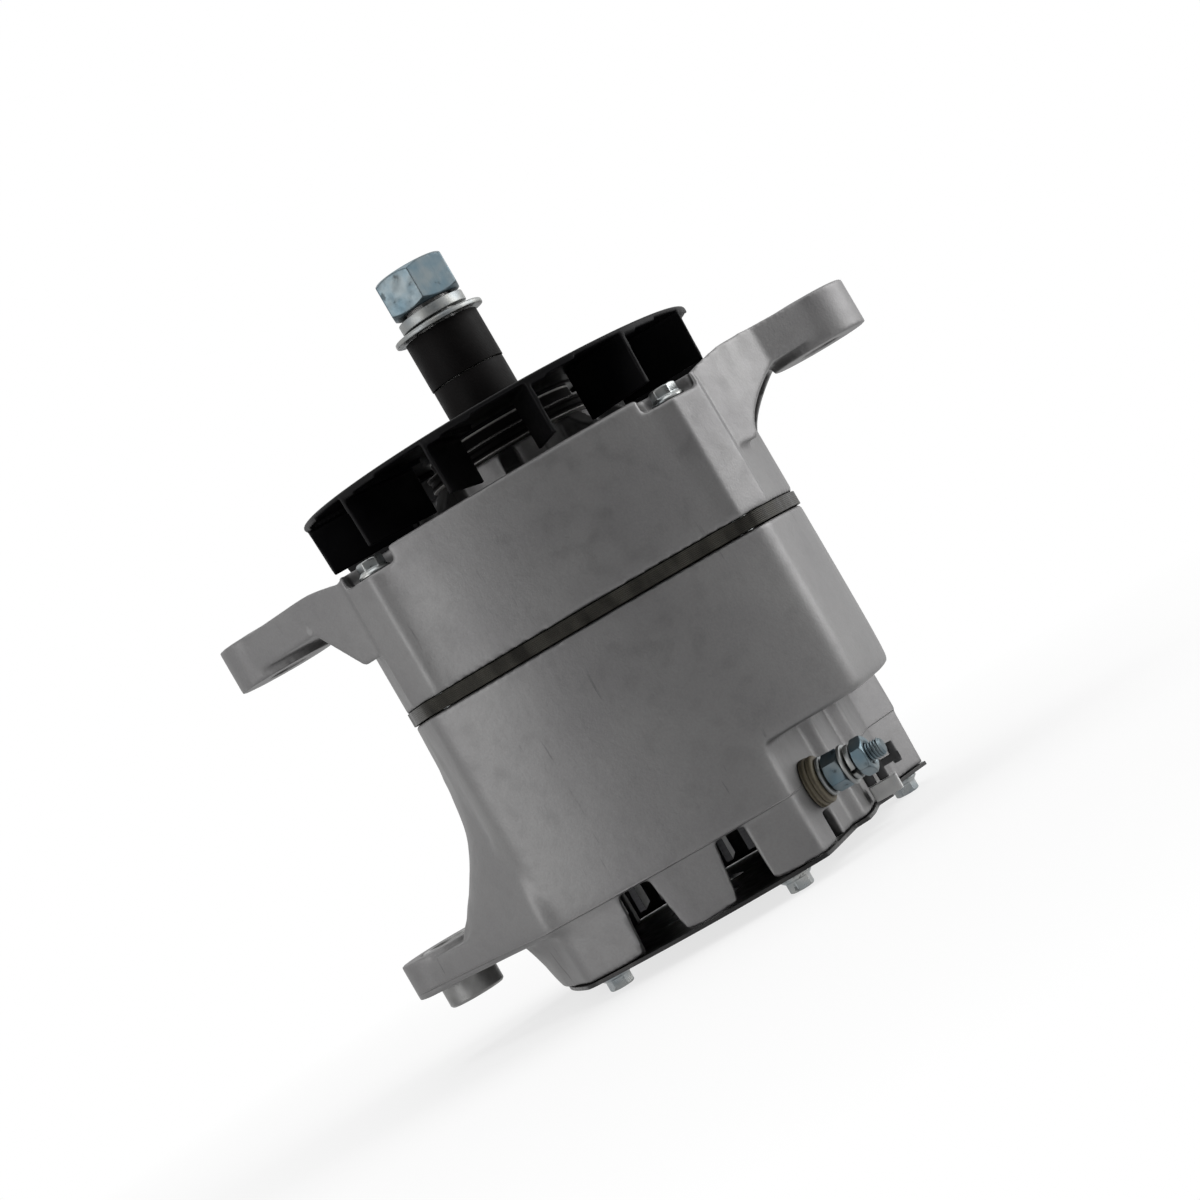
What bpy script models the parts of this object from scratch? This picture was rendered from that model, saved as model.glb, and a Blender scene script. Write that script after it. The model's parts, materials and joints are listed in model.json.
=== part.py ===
"""Heavy-duty engine alternator with hinge ears and an adjusting ear.

Metres, +Z from the rear cover toward the shaft nut. The origin is on the shaft axis,
in the outer face of the rear cover. The hinge ears are at -X, the adjusting ear at +X.
"""

import math

import bmesh
import bpy
from mathutils import Matrix, Vector

# Clearances and facets
SEAT_GAP = 0.0003
RUNNING_GAP = 0.0010
CUT_OVERRUN = 0.003
LEVEL_NORMAL = 0.999
MERGE_DISTANCE = 0.000004
LARGE_STEPS = 40
MEDIUM_STEPS = 22
SMALL_STEPS = 10
FILLET_STEPS = 2
SECTOR_STEPS = 3
SIDE_STEPS = 6
CORNER_STEPS = 4
NOSE_STEPS = 3
SMOOTH_ANGLE = math.radians(32)

# Body section: four bowed sides and round corners
BODY_HALF_WIDTH = 0.0714
STACK_COVER = 0.0048
STACK_RADIUS = BODY_HALF_WIDTH - STACK_COVER
BOLT_WALL = 0.0068
BOLT_SPACING = (STACK_RADIUS + BOLT_WALL) / math.sqrt(2)
CORNER_WALL = 0.0063
CORNER_REACH = BOLT_SPACING + CORNER_WALL
CORNER_RADIUS = 0.0100
LOBE_WALL = 0.0111
LOBE_HALF_WIDTH = BOLT_SPACING + LOBE_WALL
LOBE_CHAMFER = 0.0097
LOBE_ROUND = 0.0022
CAVITY_INSET = 0.0058
CAVITY_CHAMFER = 0.0030

# Levels along the shaft
COVER_SHEET = 0.0012
SKIRT_TOP = 0.0208
POCKET_CEILING = 0.0380
REAR_WALL_BOTTOM = 0.0440
REAR_WALL_THICKNESS = 0.0060
BAND_BOTTOM = 0.0961
BAND_THICKNESS = 0.0044
FRONT_FACE = 0.1472
FRONT_WALL_THICKNESS = 0.0060

# Stator
BORE_SHARE = 0.7222
STACK_BORE = STACK_RADIUS * BORE_SHARE
STACK_LENGTH = 0.0284
SLOT_COUNT = 36
SLOT_MOUTH_DEPTH = 0.0026
SLOT_DEPTH_SHARE = 0.1847
SLOT_DEPTH = STACK_RADIUS * SLOT_DEPTH_SHARE
SLOT_MOUTH_HALF_ANGLE = math.radians(1.3)
SLOT_HALF_ANGLE = math.radians(2.7)
BAR_HALF_ANGLE = math.radians(2.3)
BAND_PROUD = 0.0004
WINDING_OVERHANG = 0.0100
WINDING_BORE_STEP = 0.0024
WINDING_INNER_RADIUS = STACK_BORE + WINDING_BORE_STEP
WINDING_RIM_STEP = 0.0051
WINDING_OUTER_RADIUS = STACK_RADIUS - WINDING_RIM_STEP
WINDING_ROUND = 0.0035
LEDGE_WIDTH = 0.0021
LEDGE_BORE = STACK_RADIUS - LEDGE_WIDTH

# Rear housing
SKIRT_BOTTOM_INSET = 0.0013
SKIRT_TOP_INSET = 0.0007
SKIRT_STEP = 0.0008
POCKET_EDGE_ROUND = 0.0034
POCKET_WALL = 0.0035
POCKET_BEND_ROUND = 0.0015
POCKET_MOUTH_ROUND = 0.0050
REAR_HUB_RADIUS = 0.0270
REAR_HUB_DEPTH = 0.0080
COIL_PAD_RADIUS = 0.0340
COIL_PAD_HEIGHT = 0.0060
REAR_WINDOW_PAD_GAP = 0.0040
REAR_WINDOW_INNER = COIL_PAD_RADIUS + REAR_WINDOW_PAD_GAP
REAR_WINDOW_MARGIN = 0.0085
REAR_WINDOW_OUTER = LEDGE_BORE - REAR_WINDOW_MARGIN
REAR_BORE_CLEARANCE = 0.0031
WINDOW_COUNT = 8
WINDOW_HALF_ANGLE = math.radians(15)
POCKET_SHARES = (
    (0.349, -0.958),
    (0.490, -0.476),
    (0.560, -0.441),
    (0.588, -0.315),
    (0.616, -0.070),
    (0.692, -0.017),
    (0.742, 0.392),
    (0.835, 0.525),
    (0.966, 0.681),
)
POCKET_PATH = tuple((BODY_HALF_WIDTH * x, BODY_HALF_WIDTH * y) for x, y in POCKET_SHARES)
POCKET_LEAD_SHARE = 1.2
# Skirt windows: left foot, left top, right top and right foot
NEAR_WINDOW_SHARES = ((-0.528, -0.507, -0.359, -0.319), (-0.070, -0.036, 0.102, 0.105))
FAR_WINDOW_SHARES = ((-0.480, -0.451, -0.305, -0.276), (0.206, 0.235, 0.381, 0.410))
SKIRT_WINDOW_ROUND = 0.0025

# Rear cover and its screws
COVER_INSET = 0.0006
COVER_POCKET_STEP = 0.0006
COVER_SLOT_COUNT = 8
COVER_SLOT_RADIUS = 0.0270
COVER_SLOT_LENGTH = 0.0160
COVER_SLOT_WIDTH = 0.0060
SLOT_END_SHARE = 0.45
SCREW_SHARES = ((-0.714, -0.616), (0.182, -0.826), (0.756, 0.588), (-0.714, 0.616), (0.112, 0.826))
SCREW_PLACES = tuple((BODY_HALF_WIDTH * x, BODY_HALF_WIDTH * y) for x, y in SCREW_SHARES)
SCREW_BOSS_RADIUS = 0.0055
SCREW_RADIUS = 0.0021
SCREW_LENGTH = 0.0140
SCREW_HEAD_FLATS = 0.0074
SCREW_HEAD_HEIGHT = 0.0051
SCREW_FLANGE_RADIUS = 0.0054
SCREW_FLANGE_HEIGHT = 0.0014
FLANGE_EDGE_SHARE = 0.4
FLANGE_CROWN_SHARE = 0.90

# Through bolts
BOLT_RADIUS = 0.0030
BOLT_SEAT = 0.1421
BOLT_END = 0.0660
BOLT_HEAD_FLATS = 0.0080
BOLT_HEAD_HEIGHT = 0.0049
BOLT_FLANGE_RADIUS = 0.0056
BOLT_FLANGE_HEIGHT = 0.0014
NOTCH_MARGIN = 0.0086
NOTCH_ROUND = 0.0040
NOTCH_OUTER_MARGIN = 0.0094
NOTCH_EAR_MARGIN = 0.0019

# Front housing
FRONT_EDGE_ROUND = 0.0016
FRONT_BOSS_RADIUS = 0.0290
FRONT_BOSS_TOP = 0.1570
FRONT_BOSS_BORE = 0.0183
SEAT_TUBE_RADIUS = 0.0385
RIB_HALF_THICKNESS = 0.0030
RIB_HIGH_RADIUS = 0.0335
RIB_STEP_RADIUS = 0.0400
RIB_STEP_TOP = 0.1500
RIB_END_MARGIN = 0.0045
RIB_END_RADIUS = LEDGE_BORE - RIB_END_MARGIN
FRONT_WINDOW_INNER = 0.0420
FRONT_WINDOW_MARGIN = 0.0070
FRONT_WINDOW_OUTER = LEDGE_BORE - FRONT_WINDOW_MARGIN

# Ears: reaches are taken from the shaft axis, depths from the body's widest line
EAR_BURY_DEPTH = 0.0214
EAR_BURY = BODY_HALF_WIDTH - EAR_BURY_DEPTH
EAR_WEB = 0.0060
BOSS_PROUD = 0.0004
SLOPE_DEPTH = 0.0092
SLOPE_RUN = 0.0120
SLOPE_END = BODY_HALF_WIDTH - SLOPE_DEPTH
SLOPE_START = SLOPE_END + SLOPE_RUN
GUSSET_DEPTH = 0.0014
GUSSET_ROOT = BODY_HALF_WIDTH - GUSSET_DEPTH
EAR_HOLE_RADIUS = 0.0065
HINGE_STANDOFF = 0.0270
HINGE_REACH = BODY_HALF_WIDTH + HINGE_STANDOFF
HINGE_BOSS_RADIUS = 0.0174
HINGE_KNEE_BACK = 0.0154
HINGE_KNEE_HALF = 0.0345
HINGE_KNEE = (HINGE_REACH - HINGE_KNEE_BACK, HINGE_KNEE_HALF)
HINGE_ROOT_DEPTH = 0.0082
HINGE_ROOT = (BODY_HALF_WIDTH - HINGE_ROOT_DEPTH, BOLT_SPACING)
HINGE_TIP_BACK = 0.0181
HINGE_GUSSET_TIP = HINGE_REACH - HINGE_TIP_BACK
HINGE_TOP = 0.1484
HINGE_SLOPE_DROP = 0.0033
HINGE_SLOPE_FOOT = HINGE_TOP - HINGE_SLOPE_DROP
HINGE_PLATE = 0.0121
HINGE_BOTTOM = HINGE_TOP - HINGE_PLATE
HINGE_GUSSET_HEIGHT = 0.0163
HINGE_GUSSET_FOOT = HINGE_BOTTOM - HINGE_GUSSET_HEIGHT
HINGE_BOSS_DROP = 0.0027
HINGE_BOSS_FACE = HINGE_BOTTOM - HINGE_BOSS_DROP
ADJUST_STANDOFF = 0.0304
ADJUST_REACH = BODY_HALF_WIDTH + ADJUST_STANDOFF
ADJUST_BOSS_RADIUS = 0.0169
ADJUST_KNEE_BACK = 0.0168
ADJUST_KNEE_HALF = 0.0235
ADJUST_KNEE = (ADJUST_REACH - ADJUST_KNEE_BACK, ADJUST_KNEE_HALF)
ADJUST_ROOT_DEPTH = 0.0074
ADJUST_ROOT_DROP = 0.0049
ADJUST_ROOT = (BODY_HALF_WIDTH - ADJUST_ROOT_DEPTH, BOLT_SPACING - ADJUST_ROOT_DROP)
ADJUST_TOP = 0.1513
ADJUST_PLATE = 0.0127
ADJUST_BOTTOM = ADJUST_TOP - ADJUST_PLATE
ADJUST_BOSS_DROP = 0.0029
ADJUST_BOSS_FACE = ADJUST_BOTTOM - ADJUST_BOSS_DROP
# Edge of the adjusting ear's webs: (distance out from the body, drop below the plate)
ADJUST_WEB_EDGE = ((-0.0014, 0.0186), (0.0002, 0.0130), (0.0043, 0.0080), (0.0097, 0.0034), (0.0146, 0.0))

# Rear hinge foot: (height, distance out from the body) of its middle line under and over the plate
FOOT_KNEE_BACK = 0.0144
FOOT_KNEE = (HINGE_REACH - FOOT_KNEE_BACK, HINGE_KNEE_HALF)
FOOT_ROOT_DEPTH = 0.0104
FOOT_ROOT_DROP = 0.0020
FOOT_ROOT = (BODY_HALF_WIDTH - FOOT_ROOT_DEPTH, CORNER_REACH + FOOT_ROOT_DROP)
FOOT_HALF_WIDTH = 0.0270
FOOT_TIP_DEPTH = 0.0009
FOOT_TIP_HALF_WIDTH = 0.0120
FOOT_TIP_KNEE_DEPTH = 0.0059
FOOT_TIP_KNEE = (BODY_HALF_WIDTH - FOOT_TIP_KNEE_DEPTH, HINGE_KNEE_HALF)
FOOT_TIP_ROOT_DEPTH = 0.0124
FOOT_TIP_ROOT_DROP = 0.0019
FOOT_TIP_ROOT = (BODY_HALF_WIDTH - FOOT_TIP_ROOT_DEPTH, BOLT_SPACING - FOOT_TIP_ROOT_DROP)
FOOT_KEEL = ((0.0015, 0.0008), (0.0110, 0.0028), (0.0218, 0.0054))
FOOT_GUSSET = ((0.0297, 0.0186), (0.0360, 0.0150), (0.0420, 0.0113), (0.0495, 0.0069), (0.0573, 0.0032),
               (0.0651, 0.0021), (0.0728, 0.0009), (0.0850, -0.0009))
FOOT_TOP = FOOT_GUSSET[0][0]
FOOT_BOTTOM = 0.0194
FOOT_BOSS_FACE = 0.0315

# Slide bushing in the rear foot
BUSHING_RADIUS = 0.0098
BUSHING_BORE = 0.0064
BUSHING_REAR = 0.0116
BUSHING_CHAMFER = 0.0006

# Shaft and what is clamped on it
REAR_JOURNAL_RADIUS = 0.0085
SHAFT_RADIUS = 0.0115
CORE_SEAT_RADIUS = 0.0132
FRONT_JOURNAL_RADIUS = 0.0125
PULLEY_SEAT_RADIUS = 0.0111
THREAD_RADIUS = 0.0079
SHAFT_CHAMFER = 0.0008
SHAFT_REAR_END = 0.0405
NUT_FLATS = 0.0238
NUT_HEIGHT = 0.0136
NUT_CHAMFER = 0.0016
NUT_TURN = math.radians(-86.3)
LOCK_WASHER_RADIUS = 0.0118
LOCK_WASHER_THICKNESS = 0.0036
LOCK_WASHER_RISE = 0.0012
LOCK_WASHER_SLIT = math.radians(14)
FLAT_WASHER_RADIUS = 0.0159
FLAT_WASHER_THICKNESS = 0.0025
FRONT_SPACER_RADIUS = 0.0130
FRONT_SPACER_LENGTH = 0.01735
REAR_SPACER_RADIUS = 0.0127
REAR_SPACER_LENGTH = 0.01675
HUB_SPACER_RADIUS = 0.0256
HUB_SPACER_STEP = 0.0044
HUB_SLINGER_RADIUS = 0.0290
HUB_SLINGER_THICKNESS = 0.0048
HUB_SPACER_NECK_RADIUS = 0.0170

# Cooling fan
FAN_RIM_STEP = 0.0002
FAN_RADIUS = BODY_HALF_WIDTH - FAN_RIM_STEP
FAN_FACE = 0.1695
FAN_HUB_THICKNESS = 0.0023
FAN_SHEET = 0.0016
FAN_HUB_RADIUS = 0.0270
FAN_RECESS_CLEARANCE = 0.0004
FAN_RECESS_DEPTH = 0.0005
FAN_BLADES = 12
BLADE_FIRST_ANGLE = math.radians(15)
BLADE_INNER_RADIUS = 0.0405
BLADE_RIM_MARGIN = 0.0003
BLADE_OUTER_RADIUS = FAN_RADIUS - BLADE_RIM_MARGIN
BLADE_TIP_TAPER = 0.0008
BLADE_BOTTOM = 0.1506
BLADE_THICKNESS = 0.0014
BLADE_FOOT_WIDTH = 0.0060
LIP_DEPTH = 0.0024
LIP_ANGLE = math.radians(14)

# Bearings
FRONT_BEARING_OUTER = 0.0310
FRONT_BEARING_WIDTH = 0.0170
FRONT_BEARING_BOTTOM = 0.1270
BALL_RADIUS = 0.0050
BALL_COUNT = 8
RACE_SHOULDER = 0.0031
REAR_BEARING_OUTER = 0.0200
REAR_BEARING_WIDTH = 0.0120
REAR_BEARING_BOTTOM = 0.0420
ROLLER_RADIUS = 0.0027
ROLLER_LENGTH = 0.0080
ROLLER_COUNT = 10
CAGE_THICKNESS = 0.0016
RACE_EDGE = 0.0006
RETAINER_THICKNESS = 0.0027
RETAINER_RADIUS = 0.0385
RETAINER_BORE = 0.0255
RETAINER_SCREW_CIRCLE = 0.0348

# Rotor poles and field coil
AIR_GAP = 0.0008
ROTOR_RADIUS = STACK_BORE - AIR_GAP
CLAW_COUNT = 6
CLAW_THICKNESS = 0.0085
CLAW_TIP_THICKNESS = 0.0035
CLAW_ROOT_HALF_ANGLE = math.radians(11.6)
CLAW_TIP_HALF_ANGLE = math.radians(4.6)
FRONT_POLE_BOTTOM = 0.1060
FRONT_POLE_THICKNESS = 0.0080
POLE_HUB_RADIUS = 0.0190
CLAW_OVERLAP = 0.0012
POLE_VALLEY_RADIUS = ROTOR_RADIUS - CLAW_THICKNESS + CLAW_OVERLAP
SUPPORT_POLE_SHARE = 0.88
SUPPORT_POLE_RADIUS = POLE_VALLEY_RADIUS * SUPPORT_POLE_SHARE
REAR_POLE_BOTTOM = 0.0820
REAR_POLE_THICKNESS = 0.0080
REAR_POLE_BORE = SUPPORT_POLE_RADIUS + RUNNING_GAP
CLAW_END_MARGIN = 0.0030
CLAW_RING_THICKNESS = 0.0022
CLAW_RING_HEIGHT = 0.0040
SUPPORT_BORE = 0.0142
SUPPORT_TUBE_RADIUS = 0.0215
SUPPORT_BARREL_RADIUS = 0.0265
SUPPORT_FLANGE_MARGIN = 0.0005
SUPPORT_FLANGE_RADIUS = COIL_PAD_RADIUS - SUPPORT_FLANGE_MARGIN
SUPPORT_FLANGE_THICKNESS = 0.0042
SUPPORT_POLE_BOTTOM = 0.0800
SUPPORT_POLE_THICKNESS = 0.0080
COIL_RADIUS = SUPPORT_POLE_RADIUS - SEAT_GAP
COIL_ROUND = 0.0015
SUPPORT_SCREW_CIRCLE = 0.0302

# Small screws inside
INNER_SCREW_RADIUS = 0.0018
INNER_SCREW_LENGTH = 0.0080
INNER_SCREW_HEAD_RADIUS = 0.0032
INNER_SCREW_HEAD_HEIGHT = 0.0026
INNER_SCREW_COUNT = 3
HEAD_EDGE_SHARE = 0.6
HEAD_CROWN_SHARE = 0.7

# Output terminal
TERMINAL_HEIGHT = 0.0197
TERMINAL_WALL_SHARE = 0.561
STUD_RADIUS = 0.0031
STUD_LENGTH = 0.0260
STUD_HEAD_FLATS = 0.0110
STUD_HEAD_HEIGHT = 0.0045
INSULATOR_RADIUS = 0.0081
INSULATOR_THICKNESS = 0.0044
TERMINAL_WASHER_RADIUS = 0.0065
TERMINAL_WASHER_THICKNESS = 0.0012
TERMINAL_NUT_FLATS = 0.0110
INNER_NUT_HEIGHT = 0.0060
OUTER_NUT_HEIGHT = 0.0045
TERMINAL_NUT_CHAMFER = 0.0007
SPRING_WASHER_RADIUS = 0.0056
SPRING_WASHER_THICKNESS = 0.0016
SPRING_WASHER_RISE = 0.0005
WALL_SLOT_WIDTH = 0.0085
WALL_SLOT_TOP = 0.0108

# Relay terminal in the pocket
RELAY_CENTRE_SHARE = -0.210
RELAY_BASE_LENGTH = 0.0100
RELAY_BASE_WIDTH = 0.0110
RELAY_BASE_BOTTOM = 0.0024
RELAY_BASE_HEIGHT = 0.0050
RELAY_LUMP_WIDTH = 0.0034
RELAY_LUMP_GAP = 0.0010
RELAY_LUMP_HEIGHT = 0.0062
RELAY_ARM_LENGTH = 0.0050
RELAY_ARM_HEIGHT = 0.0028
RELAY_ARM_SHARE = 0.8
RELAY_HORN_WIDTH = 0.0029
RELAY_HORN_HEIGHT = 0.0060

# Electrical pieces in the rear compartment: their places and lengths follow the body and the hub
SINK_CENTRE_SHARE = -0.196
SINK_LENGTH_SHARE = 0.784
SINK_LENGTH = BODY_HALF_WIDTH * SINK_LENGTH_SHARE
SINK_WIDTH = 0.0230
SINK_HUB_GAP = 0.0015
SINK_CENTRE = (BODY_HALF_WIDTH * SINK_CENTRE_SHARE, -REAR_HUB_RADIUS - SINK_HUB_GAP - SINK_WIDTH / 2)
SINK_BASE_HEIGHT = 0.0060
SINK_FIN_BOTTOM = 0.0120
SINK_FIN_COUNT = 8
SINK_FIN_THICKNESS = 0.0022
REGULATOR_CENTRE_SHARE = -0.224
REGULATOR_LENGTH_SHARE = 0.672
REGULATOR_LENGTH = BODY_HALF_WIDTH * REGULATOR_LENGTH_SHARE
REGULATOR_WIDTH = 0.0230
REGULATOR_HUB_GAP = 0.0025
REGULATOR_CENTRE = (BODY_HALF_WIDTH * REGULATOR_CENTRE_SHARE,
                    REAR_HUB_RADIUS + REGULATOR_HUB_GAP + REGULATOR_WIDTH / 2)
REGULATOR_HEIGHT = 0.0130
REGULATOR_LID_STEP = 0.0033
REGULATOR_ROUND = 0.0025
CAPACITOR_CENTRE_SHARE = -0.658
CAPACITOR_CENTRE = (BODY_HALF_WIDTH * CAPACITOR_CENTRE_SHARE, 0.0)
CAPACITOR_RADIUS = 0.0090
CAPACITOR_LENGTH = 0.0360
CAPACITOR_RIM = 0.0010
TRIO_CENTRE_SHARES = (0.420, 0.560)
TRIO_CENTRE = (BODY_HALF_WIDTH * TRIO_CENTRE_SHARES[0], BODY_HALF_WIDTH * TRIO_CENTRE_SHARES[1])
TRIO_LENGTH_SHARE = 0.336
TRIO_LENGTH = BODY_HALF_WIDTH * TRIO_LENGTH_SHARE
TRIO_WIDTH = 0.0120
TRIO_HEIGHT = 0.0090
TRIO_TAB_RADIUS = 0.0032


# Scene and materials

def clear_scene():
    for old in list(bpy.data.objects):
        bpy.data.objects.remove(old)


def make_material(name, colour, roughness, metallic):
    material = bpy.data.materials.new(name)
    material.use_nodes = True
    shader = material.node_tree.nodes["Principled BSDF"]
    shader.inputs["Base Color"].default_value = (*colour, 1.0)
    shader.inputs["Roughness"].default_value = roughness
    shader.inputs["Metallic"].default_value = metallic
    return material


def make_finishes():
    return {
        "cast": make_material("cast_aluminium", (0.42, 0.42, 0.42), 0.5, 0.8),
        "band": make_material("lamination_steel", (0.19, 0.19, 0.16), 0.5, 0.7),
        "black": make_material("black_enamel", (0.012, 0.012, 0.014), 0.3, 0.1),
        "char": make_material("phosphated_steel", (0.045, 0.043, 0.043), 0.5, 0.5),
        "zinc": make_material("zinc_plate", (0.55, 0.60, 0.63), 0.3, 0.9),
        "steel": make_material("bright_steel", (0.50, 0.50, 0.50), 0.3, 1.0),
        "cover": make_material("coated_sheet", (0.05, 0.05, 0.05), 0.5, 0.4),
        "copper": make_material("enamelled_copper", (0.40, 0.12, 0.04), 0.4, 0.5),
        "brass": make_material("brass", (0.55, 0.38, 0.14), 0.4, 0.9),
        "insulator": make_material("laminated_insulator", (0.30, 0.22, 0.12), 0.7, 0.0),
        "plastic": make_material("black_plastic", (0.015, 0.015, 0.016), 0.5, 0.0),
        "pale": make_material("pale_plastic", (0.55, 0.55, 0.55), 0.5, 0.0),
    }


# Outlines

def ring_point(radius, angle):
    return (radius * math.cos(angle), radius * math.sin(angle))


def rounded_outline(corners):
    """Outline through (x, y, radius) corners, each one turned by a tangent arc."""
    outline = []
    for index, (x, y, radius) in enumerate(corners):
        corner = Vector((x, y))
        before = (Vector(corners[index - 1][:2]) - corner).normalized()
        after = (Vector(corners[(index + 1) % len(corners)][:2]) - corner).normalized()
        if radius == 0:
            outline.append(tuple(corner))
            continue
        half = before.angle(after) / 2
        centre = corner + (before + after).normalized() * (radius / math.sin(half))
        start = (corner + before * (radius / math.tan(half)) - centre).normalized()
        end = (corner + after * (radius / math.tan(half)) - centre).normalized()
        for step in range(FILLET_STEPS + 1):
            outline.append(tuple(centre + start.slerp(end, step / FILLET_STEPS) * radius))
    return outline


def shifted_path(path, distance):
    """Open path moved sideways, to the left of its direction, with mitred corners."""
    points = [Vector(point) for point in path]
    normals = []
    for start, end in zip(points, points[1:]):
        along = (end - start).normalized()
        normals.append(Vector((-along.y, along.x)))
    moved = []
    for index, point in enumerate(points):
        first = normals[max(index - 1, 0)]
        second = normals[min(index, len(normals) - 1)]
        middle = (first + second).normalized()
        moved.append(tuple(point + middle * (distance / middle.dot(first))))
    return moved


def side_arc_radius():
    """Radius of a bowed side that runs tangent into the corner arcs."""
    centre = CORNER_REACH - CORNER_RADIUS / math.sqrt(2)
    drop = centre - BODY_HALF_WIDTH
    return (CORNER_RADIUS ** 2 - centre ** 2 - drop ** 2) / (2 * (drop + CORNER_RADIUS))


def quarter_turns(points):
    """The same stretch of outline on each of the four sides."""
    outline = []
    for quarter in range(4):
        turn = Matrix.Rotation(quarter * math.pi / 2, 2)
        outline.extend(tuple(turn @ Vector(point)) for point in points)
    return outline


def squared_outline(inset):
    """Body outline drawn inward by an inset, with bowed sides and round corners."""
    radius = side_arc_radius()
    centre = CORNER_REACH - CORNER_RADIUS / math.sqrt(2)
    side_centre = radius - BODY_HALF_WIDTH
    half = math.atan2(centre, side_centre + centre)
    points = []
    for step in range(SIDE_STEPS + 1):
        angle = half * (2 * step / SIDE_STEPS - 1)
        reach = radius - inset
        points.append((reach * math.sin(angle), side_centre - reach * math.cos(angle)))
    for step in range(1, CORNER_STEPS):
        angle = half + (math.pi / 2 - 2 * half) * step / CORNER_STEPS
        reach = CORNER_RADIUS - inset
        points.append((centre + reach * math.sin(angle), -centre - reach * math.cos(angle)))
    return quarter_turns(points)


def lobed_outline(inset):
    """Front housing outline: bowed sides that run into chamfered corner lobes."""
    radius = side_arc_radius() - inset
    side_centre = side_arc_radius() - BODY_HALF_WIDTH
    flat = LOBE_HALF_WIDTH - inset
    half = math.acos((side_centre + flat) / radius)
    points = []
    for step in range(SIDE_STEPS + 1):
        angle = half * (2 * step / SIDE_STEPS - 1)
        points.append((radius * math.sin(angle), side_centre - radius * math.cos(angle)))
    shoulder = LOBE_HALF_WIDTH - LOBE_CHAMFER
    start = (points[-1][0], -flat, 0)
    end = (flat, -points[-1][0], 0)
    lobe = rounded_outline([start, (shoulder, -flat, LOBE_ROUND), (flat, -shoulder, LOBE_ROUND), end])
    return quarter_turns(points[:-1] + lobe[:-1])


def hexagon(flats):
    return [ring_point(flats / math.sqrt(3), step * math.pi / 3) for step in range(6)]


def circle(radius, steps, x=0.0, y=0.0):
    points = [ring_point(radius, step * math.tau / steps) for step in range(steps)]
    return [(x + point[0], y + point[1]) for point in points]


# Solids

def new_object(name, bm):
    bmesh.ops.recalc_face_normals(bm, faces=bm.faces)
    mesh = bpy.data.meshes.new(name)
    bm.to_mesh(mesh)
    bm.free()
    made = bpy.data.objects.new(name, mesh)
    bpy.context.collection.objects.link(made)
    return made


def prism(name, outline, bottom, top):
    """Straight solid over an outline in the XY plane."""
    bm = bmesh.new()
    face = bm.faces.new([bm.verts.new((x, y, bottom)) for x, y in outline])
    grown = bmesh.ops.extrude_face_region(bm, geom=[face])
    raised = [item for item in grown["geom"] if isinstance(item, bmesh.types.BMVert)]
    bmesh.ops.translate(bm, verts=raised, vec=(0, 0, top - bottom))
    return new_object(name, bm)


def side_prism(name, outline, near, far):
    """Straight solid over an outline in the XZ plane, from near to far along Y."""
    made = prism(name, [(x, -z) for x, z in outline], near, far)
    made.data.transform(Matrix.Rotation(-math.pi / 2, 4, "X"))
    return made


def lofted(name, sections):
    """Closed solid through (outline, height) sections of equal point counts."""
    bm = bmesh.new()
    rings = []
    for outline, height in sections:
        rings.append([bm.verts.new((x, y, height)) for x, y in outline])
    for lower, upper in zip(rings, rings[1:]):
        for index in range(len(lower)):
            bm.faces.new((lower[index - 1], lower[index], upper[index], upper[index - 1]))
    bm.faces.new(rings[0])
    bm.faces.new(rings[-1])
    bmesh.ops.remove_doubles(bm, verts=bm.verts, dist=MERGE_DISTANCE)
    warped = [face for face in bm.faces if len(face.verts) == 4]
    bmesh.ops.triangulate(bm, faces=warped)
    return new_object(name, bm)


def turned(name, outline, steps):
    """Solid turned about Z from a closed outline of (radius, height) points."""
    bm = bmesh.new()
    points = [bm.verts.new((radius, 0, height)) for radius, height in outline]
    edges = []
    for index, point in enumerate(points):
        if outline[index][0] > 0 or outline[index - 1][0] > 0:
            edges.append(bm.edges.new((points[index - 1], point)))
    bmesh.ops.spin(bm, geom=points + edges, cent=(0, 0, 0), axis=(0, 0, 1),
                   angle=math.tau, steps=steps, use_merge=True)
    bmesh.ops.remove_doubles(bm, verts=bm.verts, dist=MERGE_DISTANCE)
    return new_object(name, bm)


def tube(name, inner, outer, bottom, top, steps, edge=0.0):
    """Ring with an optional small chamfer on its outer edges."""
    if edge == 0:
        outline = [(inner, bottom), (outer, bottom), (outer, top), (inner, top)]
    else:
        outline = [(inner, bottom), (outer - edge, bottom), (outer, bottom + edge),
                   (outer, top - edge), (outer - edge, top), (inner, top)]
    return turned(name, outline, steps)


def block(name, centre, length, width, bottom, top, radius=0.0):
    half_length = length / 2
    half_width = width / 2
    corners = [(centre[0] + sx * half_length, centre[1] + sy * half_width, radius)
               for sx, sy in ((-1, -1), (1, -1), (1, 1), (-1, 1))]
    return prism(name, rounded_outline(corners), bottom, top)


def split_ring(name, inner, outer, thickness, rise, slit):
    """Spring lock washer: a square-section ring, cut through and slightly wound up."""
    bm = bmesh.new()
    section = [(inner, 0), (outer, 0), (outer, thickness), (inner, thickness)]
    points = [bm.verts.new((radius, 0, height)) for radius, height in section]
    face = bm.faces.new(points)
    steps = MEDIUM_STEPS
    bmesh.ops.spin(bm, geom=[face], cent=(0, 0, 0), axis=(0, 0, 1), angle=math.tau - slit,
                   dvec=(0, 0, rise / steps), steps=steps)
    return new_object(name, bm)


def settle(made):
    """Take the modifiers' result as the mesh."""
    bpy.context.view_layer.update()
    graph = bpy.context.evaluated_depsgraph_get()
    result = bpy.data.meshes.new_from_object(made.evaluated_get(graph))
    made.modifiers.clear()
    made.data = result


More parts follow.
